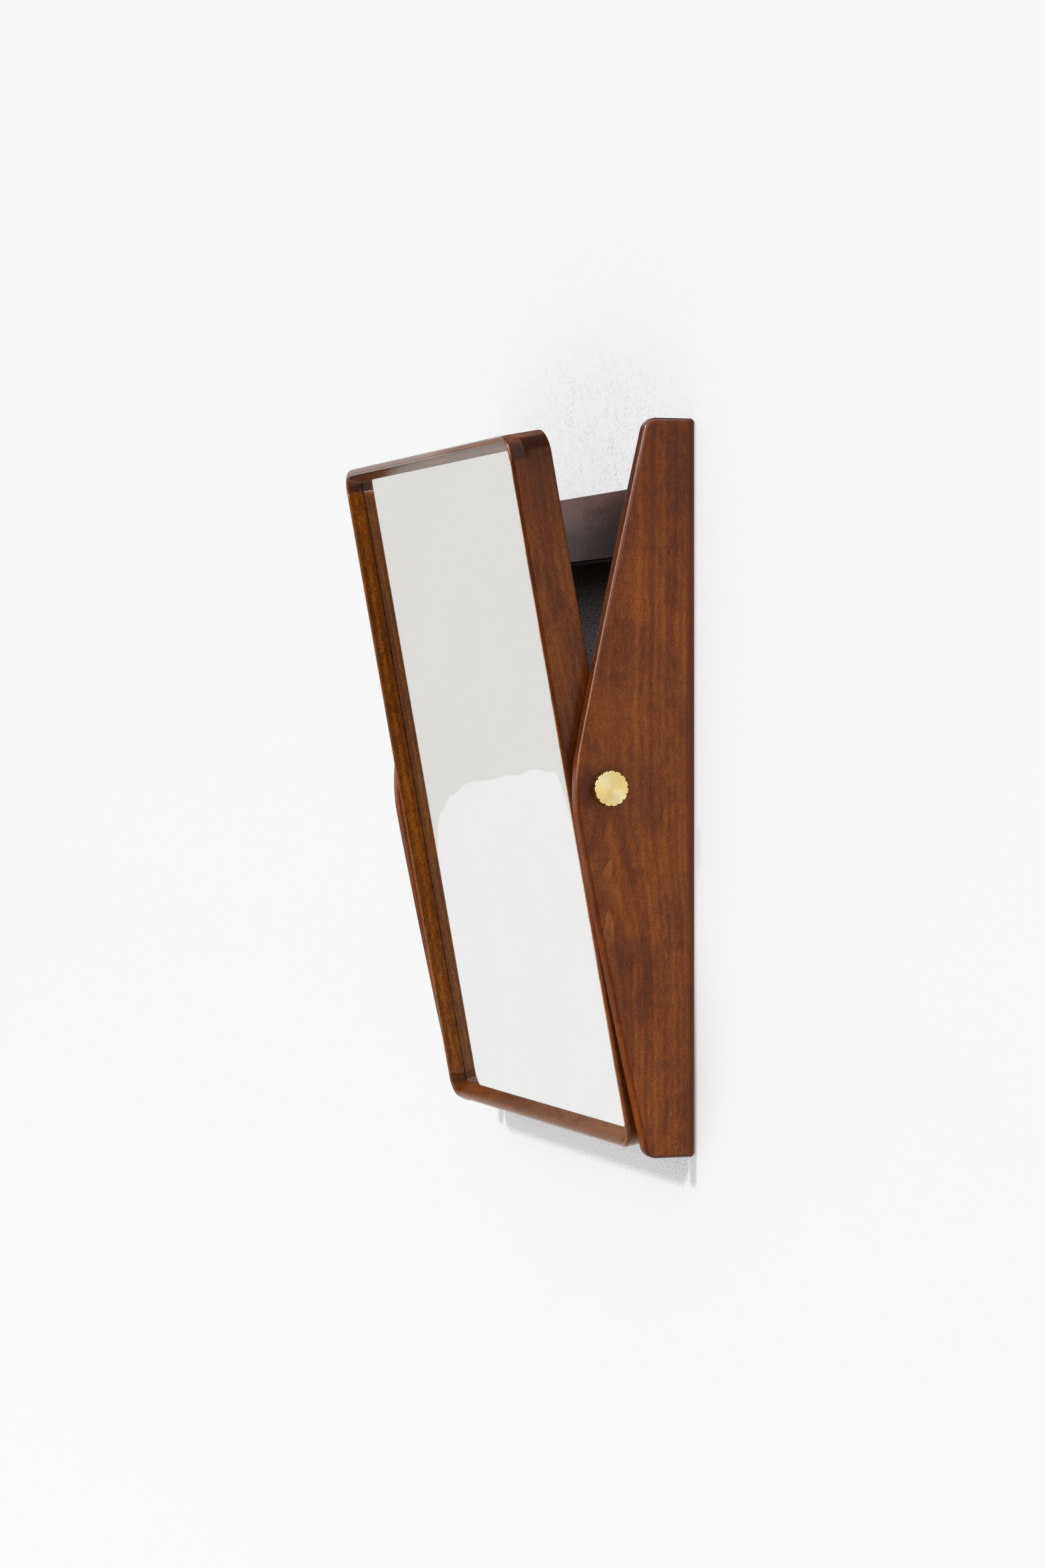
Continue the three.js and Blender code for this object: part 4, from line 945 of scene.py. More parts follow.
# ------------------------------------------------------------------ the mirror frame
def frame_section():
    """(distance in from the outer face, depth) round the frame's moulding."""
    cs, cv = NOSE, FRONT + NOSE
    reach = math.hypot(LIP - cs, GLASS_V - cv)
    to_lip = math.atan2(GLASS_V - cv, LIP - cs)
    end = to_lip - math.acos(NOSE / reach)
    start = -math.pi
    pts = [(REBATE, BACK - 0.5), (REBATE - 0.12, BACK - 0.14), (REBATE - 0.5, BACK), (REBATE - 0.9, BACK), (1.5, BACK), (1.1, BACK)]
    pts += [(0.9 - 0.9 * math.sin(a), BACK - 0.9 + 0.9 * math.cos(a)) for a in np.linspace(0.15, math.pi / 2, 6)]
    pts += [(0.0, BACK - 1.4), (0.0, -8.0), (0.0, cv + 0.5)]
    n = 18
    nose = [(cs + NOSE * math.cos(start + (end - start) * i / n), cv + NOSE * math.sin(start + (end - start) * i / n)) for i in range(n + 1)]
    pts += nose
    lx, lv = nose[-1]
    dx, dv = LIP - lx, GLASS_V - lv
    L = math.hypot(dx, dv)
    ux, uv = dx / L, dv / L
    pts += [(lx + ux * 0.4, lv + uv * 0.4), (lx + ux * (L - 1.0), lv + uv * (L - 1.0)), (lx + ux * (L - 0.6), lv + uv * (L - 0.6)),
            (lx + ux * (L - 0.28), lv + uv * (L - 0.28)), (LIP - 0.12, GLASS_V - 0.05), (LIP - 0.4, GLASS_V), (LIP - 0.8, GLASS_V),
            (REBATE + 0.4, GLASS_V), (REBATE, GLASS_V)]
    return pts


def frame_ring():
    sec = frame_section()
    corner = lambda s: OUT_R - (OUT_R - LIP_R) * s / LIP
    st = []
    n = 20
    quad = [(1, 1, 0), (-1, 1, 90), (-1, -1, 180), (1, -1, 270)]
    for k, (sx, sz, a0) in enumerate(quad):
        for i in range(n + 1):
            a = math.radians(a0 + 90 * i / n)
            st.append(("arc", sx, sz, math.cos(a), math.sin(a)))
        nx_, nz_ = quad[(k + 1) % 4][:2]
        for f in (0.004, 0.02, 0.1, 0.3, 0.5, 0.7, 0.9, 0.98, 0.996):
            st.append(("side", (sx, sz), (nx_, nz_), math.cos(math.radians(a0 + 90)), math.sin(math.radians(a0 + 90)), f))
    rings = []
    for s_ in st:
        ring = []
        for s, v in sec:
            r = corner(s)
            if s_[0] == "arc":
                _, sx, sz, cx, cz = s_
                ring.append((sx * (HW - s - r) + cx * r, v, sz * (HH - s - r) + cz * r))
            else:
                _, (ax, az), (bx, bz), cx, cz, f = s_
                p = (ax * (HW - s - r) + cx * r, az * (HH - s - r) + cz * r)
                q = (bx * (HW - s - r) + cx * r, bz * (HH - s - r) + cz * r)
                ring.append((p[0] + (q[0] - p[0]) * f, v, p[1] + (q[1] - p[1]) * f))
        rings.append(ring)
    return loft(rings, closed=True)


def tee(z0, z1, grow):
    """The room a frame rail takes at a corner joint, grown by a little on every mating face."""
    t, v, far = WALL_X - grow, FINGER_V - grow, 320.0
    poly = [(-far, -far), (far, -far), (far, v), (t, v), (t, far), (-t, far), (-t, v), (-far, v)]
    g = Geo()
    n = len(poly)
    z0, z1 = sorted((z0, z1))
    vs = [(a, b, z0) for a, b in poly] + [(a, b, z1) for a, b in poly]
    fs = [tuple(range(n))[::-1], tuple(range(n, 2 * n))] + [(i, (i + 1) % n, n + (i + 1) % n, n + i) for i in range(n)]
    return g.add(vs, fs)


PIN_X, PIN_W = (-120, 120), (67, 191)
BEAD_MID = BEAD_V0 + BEAD / 2
JOINT = 0.02


def build_frame_rail(side):
    ring = frame_ring()
    name = "top" if side > 0 else "bottom"
    ob = make("frame_%s_rail_moulding" % name, ring, TILTING, TILT)
    fz = HH - FINGER_H
    carve(ob, tee(side * (fz + JOINT), side * 320, JOINT), "INTERSECT")
    cut = Geo()
    for x in PIN_X:
        a, b = sorted((side * (WALL_Z - 1), side * (WALL_Z + 4.9)))
        cut.join(rod("Z", a, b, 0.95, (x, BEAD_MID), 14))
    carve(ob, cut)
    tidy(ob)
    bevel(ob, 0.12, 2, 50)
    return shade(ob, 34)


def build_frame_stile(side):
    ring = frame_ring()
    name = "right" if side > 0 else "left"
    ob = make("frame_%s_stile_moulding" % name, ring, TILTING, TILT)
    fz = HH - FINGER_H
    cut = tee(fz - JOINT, 320, -JOINT)
    cut.join(tee(-fz + JOINT, -320, -JOINT))
    carve(ob, cut)
    bm = bmesh.new()
    bm.from_mesh(ob.data)
    bmesh.ops.delete(bm, geom=[v for v in bm.verts if v.co.x * side < 0], context="VERTS")
    bm.to_mesh(ob.data)
    bm.free()
    cut = Geo()
    a, b = sorted((side * (WALL_X - 1), side * (HW + 1)))
    cut.join(rod("X", a, b, 4.15, (0, 0), 40))
    for d in (-12, 12):
        a, b = sorted((side * (WALL_X - 1), side * (WALL_X + 5)))
        cut.join(rod("X", a, b, 1.45, (0, d), 16))
    for d in (-1, 1):
        for w in PIN_W:
            a, b = sorted((side * (WALL_X - 1), side * (WALL_X + 4.9)))
            cut.join(rod("X", a, b, 0.95, (BEAD_MID, d * w), 14))
    carve(ob, cut)
    tidy(ob)
    bevel(ob, 0.12, 2, 50)
    return shade(ob, 34)


def pane(name, v0, v1, edge, hw=196.7, hh=250.0, r=10.7):
    g = soft_board(rounded_rect(hw, hh, r, 14), v0, v1, edge, edge, lambda u, w, t: (u, t, w), 4, min(0.25, (v1 - v0) / 2 - edge - 0.01))
    return shade(make(name, g, TILTING, TILT), 50)


def bead_rings(stations, put):
    c = 1.6
    sec = fillet([(0, 0), (BEAD, 0), (BEAD, BEAD - c), (BEAD - c, BEAD), (0, BEAD)], [0.15, 0.3, 0.5, 0.5, 0.3], 3)
    rings = []
    for t, inset in stations:
        o = outline_offset(sec, inset) if inset else sec
        rings.append([put(a, b, t) for a, b in o])
    return loft(rings)


def ends(a, b):
    a, b = sorted((a, b))
    return [(a, 0.35), (a + 0.12, 0.12), (a + 0.4, 0)] + [(t, 0) for t in np.linspace(a + 2, b - 2, 10)] + [(b - 0.4, 0), (b - 0.12, 0.12), (b, 0.35)]


def build_bead_x(side):
    g = bead_rings(ends(-184, 184), lambda a, b, t: (t, BEAD_V0 + b, side * (WALL_Z - 0.3 - a)))
    ob = make("bead_%s_moulding" % ("top" if side > 0 else "bottom"), g, TILTING, TILT)
    cut = Geo()
    for x in PIN_X:
        a, b = sorted((side * (WALL_Z - BEAD - 2), side * (WALL_Z + 1)))
        cut.join(rod("Z", a, b, 0.95, (x, BEAD_MID), 14))
    carve(ob, cut)
    tidy(ob)
    return shade(ob, 35)


def build_bead_z(side, d):
    lo, hi = (22, 236) if d > 0 else (-236, -22)
    g = bead_rings(ends(lo, hi), lambda a, b, t: (side * (WALL_X - 0.3 - a), BEAD_V0 + b, t))
    ob = make("bead_%s_%s_moulding" % ("right" if side > 0 else "left", "upper" if d > 0 else "lower"), g, TILTING, TILT)
    cut = Geo()
    for w in PIN_W:
        a, b = sorted((side * (WALL_X - BEAD - 2), side * (WALL_X + 1)))
        cut.join(rod("X", a, b, 0.95, (BEAD_MID, d * w), 14))
    carve(ob, cut)
    tidy(ob)
    return shade(ob, 35)


def build_pin(name, axis, c, head, tip):
    s = 1 if tip > head else -1
    prof = [(0, head), (0.9, head), (1.28, head + s * 0.08), (1.4, head + s * 0.22), (1.38, head + s * 0.42), (1.2, head + s * 0.5),
            (0.8, head + s * 0.55), (0.8, head + s * 1.1), (0.74, head + s * 1.2), (0.8, head + s * 1.35), (0.8, tip - s * 1.6),
            (0.62, tip - s * 0.9), (0.25, tip - s * 0.15), (0, tip)]
    return shade(make(name, lathe(axis, prof, c, 24), TILTING, TILT), 50)


def build_plate(side):
    p0, p1 = WALL_X - 0.3 - 2.0, WALL_X - 0.3
    outline = rounded_rect(4.6, 17.0, 1.2, 6)
    g = soft_board(outline, p0, p1, 0.3, 0.2, lambda u, w, t: (side * t, u, w), 3)
    ob = make("%s_plate_strip" % ("right" if side > 0 else "left"), g, TILTING, TILT)
    prof = [(0, p0 + 0.5), (4.0, p0 + 0.5), (4.0, HW - 0.7), (3.7, HW - 0.3), (0, HW - 0.3)]
    carve(ob, lathe("X", [(r, side * t) for r, t in prof], (0, 0), 48), "UNION")
    cut = rod("X", *sorted((side * (p0 - 1), side * (HW + 1))), 3.3, (0, 0), 48)
    for d in (-12, 12):
        prof = [(0, p0 - 1), (2.75, p0 - 1), (2.75, p0 + 0.25), (1.6, p0 + 1.5), (1.6, p1 + 1), (0, p1 + 1)]
        cut.join(lathe("X", [(r, side * t) for r, t in prof], (0, d), 28))
    carve(ob, cut)
    tidy(ob)
    bevel(ob, 0.12, 2, 50)
    return shade(ob, 35)


def build_washer(name, side, a, b, r_in, r_out, e):
    prof = [(r_in + e, a), ((r_in + r_out) / 2, a), (r_out - e, a), (r_out - 0.3 * e, a + 0.3 * e), (r_out, a + e), (r_out, b - e), (r_out - 0.3 * e, b - 0.3 * e),
            (r_out - e, b), ((r_in + r_out) / 2, b), (r_in + e, b), (r_in + 0.3 * e, b - 0.3 * e), (r_in, b - e), (r_in, a + e), (r_in + 0.3 * e, a + 0.3 * e)]
    return shade(make(name, lathe("X", [(r, side * t) for r, t in prof], (0, 0), 96, True), TILTING, TILT), 30)


KNOB_X0, KNOB_X1, KNOB_R, NOTCHES = 219.2, 225.2, 12.5, 15


def knob_edge(a):
    """Radius of the thumb nut's rim at an angle: low domed lands between round-bottomed notches."""
    step = TAU / NOTCHES
    ph = (a - math.radians(18) + step / 2) % step - step / 2        # 0 at the middle of a notch
    land = abs(abs(ph) - step / 2) / (step / 2)                      # 0 at the middle of a land, 1 at a notch
    r = KNOB_R - 0.26 * land ** 2.0
    w = abs(ph) * KNOB_R
    nr = 0.74
    if w < nr:
        notch = (KNOB_R - 0.22) - math.sqrt(max(0.0, nr * nr - w * w)) * 0.92
        k = min(1.0, max(0.0, (nr - w) / 0.20))
        k = k * k * (3 - 2 * k)
        r = r * (1 - k) + min(r, notch) * k
    return r


def build_knob(side):
    angles = []
    step = TAU / NOTCHES
    for i in range(NOTCHES):
        a0 = math.radians(18) + i * step
        for f in (-0.5, -0.42, -0.34, -0.27, -0.21, -0.17, -0.15, -0.139, -0.127, -0.112, -0.09, -0.062, -0.03, 0.0,
                  0.03, 0.062, 0.09, 0.112, 0.127, 0.139, 0.15, 0.17, 0.21, 0.27, 0.34, 0.42):
            angles.append(a0 + f * step)
    n = len(angles)
    edge = [knob_edge(a) for a in angles]
    rows = []                                           # (inset from the rim or None, fixed radius, along)
    e0, e1 = 0.45, 0.55
    rows.append((None, 3.3, KNOB_X0 + 3.6))
    rows.append((None, 3.3, KNOB_X0 + 0.4))
    rows.append((None, 3.45, KNOB_X0 + 0.12))
    rows.append((None, 3.75, KNOB_X0))
    rows.append((None, 6.0, KNOB_X0))
    rows.append((None, 10.4, KNOB_X0))
    rows.append((e0 + 0.15, None, KNOB_X0))
    for k in range(6):
        a = math.pi / 2 * k / 5
        rows.append((e0 * (1 - math.sin(a)), None, KNOB_X0 + e0 * (1 - math.cos(a))))
    rows.append((0.0, None, KNOB_X0 + e0 + 0.2))
    rows.append((0.0, None, (KNOB_X0 + KNOB_X1) / 2))
    rows.append((0.0, None, KNOB_X1 - e1 - 0.2))
    for k in range(8, -1, -1):
        a = math.pi / 2 * k / 8
        rows.append((e1 * (1 - math.sin(a)), None, KNOB_X1 - e1 * (1 - math.cos(a))))
    rows.append((e1 + 0.15, None, KNOB_X1))
    rows += [(None, 10.55, KNOB_X1), (None, 9.9, KNOB_X1), (None, 9.0, KNOB_X1 - 0.02), (None, 7.5, KNOB_X1 - 0.03), (None, 5.0, KNOB_X1 - 0.05),
             (None, 2.5, KNOB_X1 - 0.06), (None, 1.0, KNOB_X1 - 0.06), (None, 0.62, KNOB_X1 - 0.08), (None, 0.42, KNOB_X1 - 0.22), (None, 0.2, KNOB_X1 - 0.38)]
    verts, faces = [], []
    for inset, r, t in rows:
        for a, e in zip(angles, edge):
            verts.append(place("X", (e - inset) if r is None else r, side * t, a, (0, 0)))
    m = len(rows)
    for k in range(m - 1):
        for i in range(n):
            j = (i + 1) % n
            faces.append((k * n + i, k * n + j, (k + 1) * n + j, (k + 1) * n + i))
    c0, c1 = len(verts), len(verts) + 1
    verts += [(side * (KNOB_X0 + 3.75), 0, 0), (side * (KNOB_X1 - 0.42), 0, 0)]
    for i in range(n):
        j = (i + 1) % n
        faces.append((j, i, c0))
        faces.append(((m - 1) * n + i, (m - 1) * n + j, c1))
    ob = make("%s_knob_turned" % ("right" if side > 0 else "left"), Geo().add(verts, faces), TILTING, TILT)
    return shade(ob, 40)


def build_stud(side):
    put = lambda r, t, a: place("X", r, side * t, a, (0, 0))
    ob = make("%s_stud_threaded" % ("right" if side > 0 else "left"), threaded("X", put, 190.0, 222.5, 3.0, 1.0, 0.52), TILTING, TILT)
    carve(ob, box(*sorted((side * 189, side * 191.3)), -0.4, 0.4, -4, 4))
    tidy(ob, 0.00005)
    return shade(ob, 38)


# ------------------------------------------------------------------ putting it together
def mirrored(p, side):
    return (side * p[0],) + tuple(p[1:])


FIGURE = {
    1: dict(pith=(206.0, -66.0, 9.0, 10.0, -78.0, 52.0), period=4.6, ring_gain=0.20, tint=(1.17, 1.12, 1.0)),
    -1: dict(pith=(-214.0, -30.0, 22.0, 12.0, 40.0, 120.0), period=5.4, ring_gain=0.16, tint=(1.12, 1.08, 1.0)),
}
for side in (1, -1):
    tag = "right" if side > 0 else "left"
    marks = ((212.0, -20.1, 167.2, 1.1, 2.6, (0.020, 0.008, 0.005)), (212.0, -32.7, -152.8, 0.9, 2.0, (0.022, 0.009, 0.006)),
             (212.0, -18.6, -230.7, 0.5, 3.2, (0.33, 0.20, 0.13))) if side > 0 else ()
    # darker places on the right cheek's face; the one between the knob and the front edge is a painted shadow of the
    # knob
    pat = ((212.0, -17.5, 135.5, 60.0, 9.0, 22.0, -0.14), (212.0, -25.0, 235.0, 80.0, 60.0, 95.0, -0.13),
           (212.0, -81.0, -1.0, 60.0, 11.0, 21.0, -0.30), (212.0, -40.0, -150.0, 60.0, 26.0, 40.0, -0.08)) if side > 0 else ()
    fl = ((-66.2, -21.0, 24.0, 6.5, 0.0, 0.09), (-62.6, -50.5, 15.0, 6.0, 7.0, 0.27), (-66.2, -86.0, 30.0, 5.2, 0.0, 0.29), (-64.0, -100.0, 60.0, 11.0, 0.0, 0.05)) if side > 0 else ()
    finish_piece(build_cheek(side), wood("wood_%s_cheek" % tag, "Z", (11.3 * side, 5.1, 40.0 + 13 * side), marks=marks, patches=pat, edge_shading=(0, 5.4), flames=fl, **FIGURE[side]),
                 "bracket", "stained_wood", tag + "_cheek")
    finish_piece(build_bush(side), brass("brass_%s_bush" % tag, "X", (PIVOT_Y, 0)), "bracket", "brass", tag + "_pivot_bush")

for upper in (True, False):
    tag = "upper" if upper else "lower"
    # the upper rail's patches paint light round its middle and along its top edge, and shade further right, where the
    # light falls off between the frame and the right cheek
    mat = wood("wood_%s_rail" % tag, "X", (3.0, 17.0 if upper else 61.0, 9.0), pith=(RAIL_OFF if upper else -RAIL_OFF, 40.0, 30.0, 8.0, 0.0, 200.0), period=4.2,
               tone=0.235, tint=(1.22, 1.22, 1.95), saturation=0.75, blotch=0.4, broad_gain=0.8, coat_rough=0.26, skin=2.6, bare_shaded_under=True,
               patches=((RAIL_OFF + 27.0, -14.0, 40.0, 17.0, 30.0, 190.0, 0.42), (RAIL_OFF - 4.0, -15.0, 110.0, 44.0, 13.0, 66.0, -0.38), (RAIL_OFF - 2.0, -15.0, 0.0, 44.0, 13.0, 42.0, 0.58)) if upper else ())
    finish_piece(build_rail(upper), mat, "bracket", "rail_wood", tag + "_rail")
    for side in (1, -1):
        for d in (14, -14):
            ob = build_dowel(upper, side, d)
            m = wood("wood_" + ob.name, "X", (float(d), 5.0 * side, 3.0), tone=2.6, tint=(1.0, 1.9, 3.4), saturation=0.8, blotch=0.1, coat=0.0)
            finish_piece(ob, m, "bracket", "dowel_wood", "%s_rail_dowel_%s_%s" % (tag, "right" if side > 0 else "left", "top" if d > 0 else "bottom"))

STEEL = steel("hanger_steel")
for side in (1, -1):
    tag = "right" if side > 0 else "left"
    finish_piece(build_hanger(side), STEEL, "bracket", "steel", "keyhole_hanger_" + tag)
    for d, word in ((17, "upper"), (-17, "lower")):
        ob = screw("hanger_screw_%s_%s_cut" % (tag, word), "Y", (side * 150, RAIL_OFF + d), 0.0, 1, 10.5, 2.4, 1.3, BRACKET)
        finish_piece(ob, STEEL, "bracket", "steel", "hanger_screw_%s_%s" % (tag, word))

TOP_PATCH = ((HH - 2.0, -23.0, 60.0, 9.0, 14.0, 110.0, 0.10),)
for side in (1, -1):
    tag = "top" if side > 0 else "bottom"
    m = wood("wood_frame_%s" % tag, "X", (21.0 * side, 8.0, 77.0), pith=(side * 215.0, -40.0, 20.0, 8.0, 30.0, 130.0), period=4.4, tone=0.92 if side > 0 else 0.84, tint=(1.0, 1.0, 1.0) if side > 0 else (0.98, 1.08, 0.58),
             patches=TOP_PATCH if side > 0 else (), nose=(2, side, 0.95, 0.45, 0.6, 0.85, 0.45) if side > 0 else (2, side, 0.4, 0.15, 0.0, 0.0, 0.0),
             grey=((0.36, 0.285, 0.255), 0.78) if side > 0 else ((0.29, 0.150, 0.175), 0.50), end=1.0 if side > 0 else 0.6)
    finish_piece(build_frame_rail(side), m, "mirror", "stained_wood", "frame_%s_rail" % tag)
for side in (1, -1):
    tag = "right" if side > 0 else "left"
    look = dict(tone=0.97, patches=((204.0, -5.0, 262.0, 30.0, 30.0, 120.0, -0.18), (204.0, 0.0, 262.0, 30.0, 30.0, 46.0, -0.27),
                                    (204.0, 0.0, 8.0, 30.0, 40.0, 70.0, -0.24)), nose=(0, side, 0.25, 0.0, 0.3, 0.0, 0.0, 0.75)) if side > 0 else \
        dict(tone=1.08, tint=(1.0, 1.04, 0.22), contrast=1.7, blotch=0.5, nose=(0, side, 0.2, 0.0, 0.3, 0.0, 0.55))
    m = wood("wood_frame_%s" % tag, "Z", (51.0 * side, 3.0, 12.0 * side), pith=(side * 185.0, -44.0, 12.0, 8.0, 0.0, 140.0), period=4.2, **look)
    finish_piece(build_frame_stile(side), m, "mirror", "stained_wood", "frame_%s_stile" % tag)

PANE = pane("mirror_pane", -13.94, -13.62, 0.1)
finish_piece(PANE, glass("float_glass"), "mirror", "mirror_glass", "mirror_glass")
COAT = pane("mirror_silvering", -13.60, -10.7, 0.2)
finish_piece(COAT, silvering("silver_coat"), "mirror", "mirror_glass")
BOARD = pane("backing_panel", -10.4, -7.4, 0.3)
finish_piece(BOARD, hardboard("fibre_board"), "mirror", "hardboard", "backing_board")

for side in (1, -1):
    tag = "top" if side > 0 else "bottom"
    m = wood("wood_bead_%s" % tag, "X", (5.0, 9.0, 33.0 * side), tone=0.8, tint=(1.0, 1.15, 1.4), saturation=0.8, coat=0.4)
    finish_piece(build_bead_x(side), m, "mirror", "rail_wood", "retaining_bead_" + tag)
    for x, word in ((-120, "left"), (120, "right")):
        head, tip = side * (WALL_Z - 0.3 - BEAD - 0.95), side * (WALL_Z + 4.6)
        ob = build_pin("pin_%s_%s" % (tag, word), "Z", (x, BEAD_MID), head, tip)
        finish_piece(ob, STEEL, "mirror", "steel", "bead_pin_%s_%s" % (tag, word))
for side in (1, -1):
    for d in (1, -1):
        tag = "%s_%s" % ("right" if side > 0 else "left", "upper" if d > 0 else "lower")
        m = wood("wood_bead_" + tag, "Z", (7.0 * side, 4.0, 19.0 * d), tone=0.8, tint=(1.0, 1.15, 1.4), saturation=0.8, coat=0.4)
        finish_piece(build_bead_z(side, d), m, "mirror", "rail_wood", "retaining_bead_" + tag)
        for w, word in ((PIN_W[0], "inner"), (PIN_W[1], "outer")):
            head, tip = side * (WALL_X - 0.3 - BEAD - 0.95), side * (WALL_X + 4.6)
            ob = build_pin("pin_%s_%s" % (tag, word), "X", (BEAD_MID, d * w), head, tip)
            finish_piece(ob, STEEL, "mirror", "steel", "bead_pin_%s_%s" % (tag, word))

for side in (1, -1):
    tag = "right" if side > 0 else "left"
    plate_brass = brass("brass_%s_plate" % tag, None, rough=0.30, aged=0.6)
    finish_piece(build_plate(side), plate_brass, "mirror", "brass", tag + "_pivot_plate")
    for d, word in ((12, "upper"), (-12, "lower")):
        p0 = WALL_X - 2.3
        ob = screw("plate_screw_%s_%s" % (tag, word), "X", (0, d), side * p0, -side, WALL_X + 4.7 - p0, 2.35, 1.3, TILTING, TILT)
        finish_piece(ob, plate_brass, "mirror", "brass", "pivot_plate_screw_%s_%s" % (tag, word))
    finish_piece(build_washer(tag + "_leather_washer", side, HW + 0.3, 205.7, 3.6, 11.0, 0.35), leather("leather_" + tag), "mirror", "leather", tag + "_friction_washer")
    finish_piece(build_washer(tag + "_brass_washer", side, 218.3, 218.9, 3.6, 9.0, 0.15), brass("brass_%s_washer" % tag, "X"), tag + "_clamp", "brass", tag + "_clamp_washer")
    knob = build_knob(side)
    finish_piece(knob, brass("brass_%s_knob" % tag, "X", (0, 0), rough=0.28, aniso=0.6, spoke_glint=0.45), tag + "_thumb_knob", "brass", tag + "_knob")
    finish_piece(build_stud(side), brass("brass_%s_stud" % tag, "X", (0, 0), rough=0.30, aged=0.5), tag + "_thumb_knob", "brass", tag + "_knob_stud")

# ------------------------------------------------------------------ room, light and camera
floor_mat = Nodes("pale_floor")
fp = floor_mat.coords()
fd = floor_mat.vmath("LENGTH", floor_mat.vmath("MULTIPLY", fp, (1.0, 1.0, 0.0)))
fn = floor_mat.noise(fp, 0.8, 3.0, 0.5)
diff = floor_mat.node("BsdfDiffuse")
floor_mat.set(diff.inputs[0], floor_mat.mix(fn, (0.78, 0.78, 0.785), (0.82, 0.82, 0.825)))
glow = floor_mat.node("Emission")
glow.inputs[0].default_value = (0.985, 0.99, 1.0, 1)
glow.inputs[1].default_value = 0.33
both = floor_mat.node("AddShader")
floor_mat.nt.links.new(diff.outputs[0], both.inputs[0])
floor_mat.nt.links.new(glow.outputs[0], both.inputs[1])
clear = floor_mat.node("BsdfTransparent")
edge = floor_mat.node("MixShader")
floor_mat.set(edge.inputs[0], floor_mat.span(fd, 3.6, 5.0, 1.0, 0.0, True))
floor_mat.nt.links.new(clear.outputs[0], edge.inputs[1])
floor_mat.nt.links.new(both.outputs[0], edge.inputs[2])
floor_mat.nt.links.new(edge.outputs[0], floor_mat.out.inputs[0])

bm = bmesh.new()
bmesh.ops.create_circle(bm, cap_ends=True, segments=128, radius=5.2)
me = bpy.data.meshes.new("floor")
bm.to_mesh(me)
bm.free()
floor = bpy.data.objects.new("floor", me)
SCENE.collection.objects.link(floor)
floor.location = (0, 0, -1.64)
me.materials.append(floor_mat.mat)

# the wall is seen from the room side only
w = Nodes("plaster_wall")
wp = w.coords()
wx, wy, wz = w.split(wp)
fade = w.math("MINIMUM", w.math("MINIMUM", w.span(wx, -2.75, -2.35, 0, 1, True), w.span(wx, 1.15, 0.8, 0, 1, True)),
              w.math("MINIMUM", w.span(wz, -1.5, -1.2, 0, 1, True), w.span(wz, 1.25, 0.95, 0, 1, True)))
back = w.node("NewGeometry").outputs["Backfacing"]
seen = w.math("MULTIPLY", fade, w.math("SUBTRACT", 1.0, back))
skim = w.noise(wp, 9.0, 4.0, 0.6)
# painted shade: the wall between the cheeks under the upper rail is darkened, lighter lower down and broken up by grit
nook_shade = w.math("MULTIPLY", w.math("MULTIPLY", w.span(w.math("ABSOLUTE", wx), 0.206, 0.19, 0, 1, True), w.span(wz, -0.20, -0.03, 0, 1, True)), w.span(wz, 0.024, 0.016, 0, 1, True))
tone = w.mix(skim, (0.762, 0.762, 0.766), (0.768, 0.768, 0.772))
grit = w.noise(w.vmath("MULTIPLY", wp, (300.0, 800.0, 650.0)), 1.0, 3.0, 0.75)
grain_n = w.noise(w.vmath("MULTIPLY", wp, (320.0, 900.0, 700.0)), 1.0, 2.0, 0.6)
# painted shade colour for the nook, lighter lower down
nook_shade_fade = w.span(wz, -0.035, -0.10, 0.0, 1.0, True)
dim = w.mix(nook_shade_fade, (0.19, 0.205, 0.25), (1.45, 1.56, 1.92))
dim = w.mix(1.0, dim, w.join_grey(w.span(grit, 0.36, 0.64, 0.05, 1.95)), "MULTIPLY")
tone = w.mix(w.math("MULTIPLY", nook_shade, 0.94), tone, dim)
# the skim coat is rougher under the bracket
rough_zone = w.math("MULTIPLY", w.span(wz, -0.40, -0.425, 0.0, 1.0, True), w.math("MULTIPLY", w.span(wz, -0.50, -0.47, 0.0, 1.0, True), w.span(w.math("ABSOLUTE", wx), 0.235, 0.20, 0.0, 1.0, True)))
tone = w.mix(1.0, tone, w.join_grey(w.math("MULTIPLY_ADD", w.math("MULTIPLY", w.math("SUBTRACT", grain_n, 0.5), rough_zone), 1.05, 1.0)), "MULTIPLY")
# dark plaster chips under the right cheek, laid over the strip of light that passes between the frame and the cheek, so
# partly painted shade
plaster_chip_shade = w.math("MULTIPLY", w.span(w.noise(w.vmath("MULTIPLY", wp, (260.0, 600.0, 560.0)), 1.0, 3.0, 0.75), 0.52, 0.64, 0.0, 0.85, True), w.math("MULTIPLY", w.span(wx, 0.120, 0.155, 0.0, 1.0, True), w.math("MULTIPLY", w.span(wx, 0.212, 0.196, 0.0, 1.0, True), w.math("MULTIPLY", w.span(wz, -0.436, -0.446, 0.0, 1.0, True), w.span(wz, -0.482, -0.460, 0.0, 1.0, True)))))
tone = w.mix(plaster_chip_shade, tone, (0.17, 0.115, 0.12))
wd = w.node("BsdfDiffuse")
# painted light: the wall glows, more above than below, which lightens the shade round the bracket while the shadow
# beneath it stays darker; the diffuse colour is cut by the same share
glow_share = w.span(wz, -0.41, -0.29, 0.29, 0.69, True)
tone = w.mix(1.0, tone, w.join_grey(w.math("SUBTRACT", 1.0, glow_share)), "MULTIPLY")
strokes = w.plaster(wx, wz)
tone = w.mix(strokes, tone, (0.10, 0.10, 0.11))
w.set(wd.inputs[0], tone)
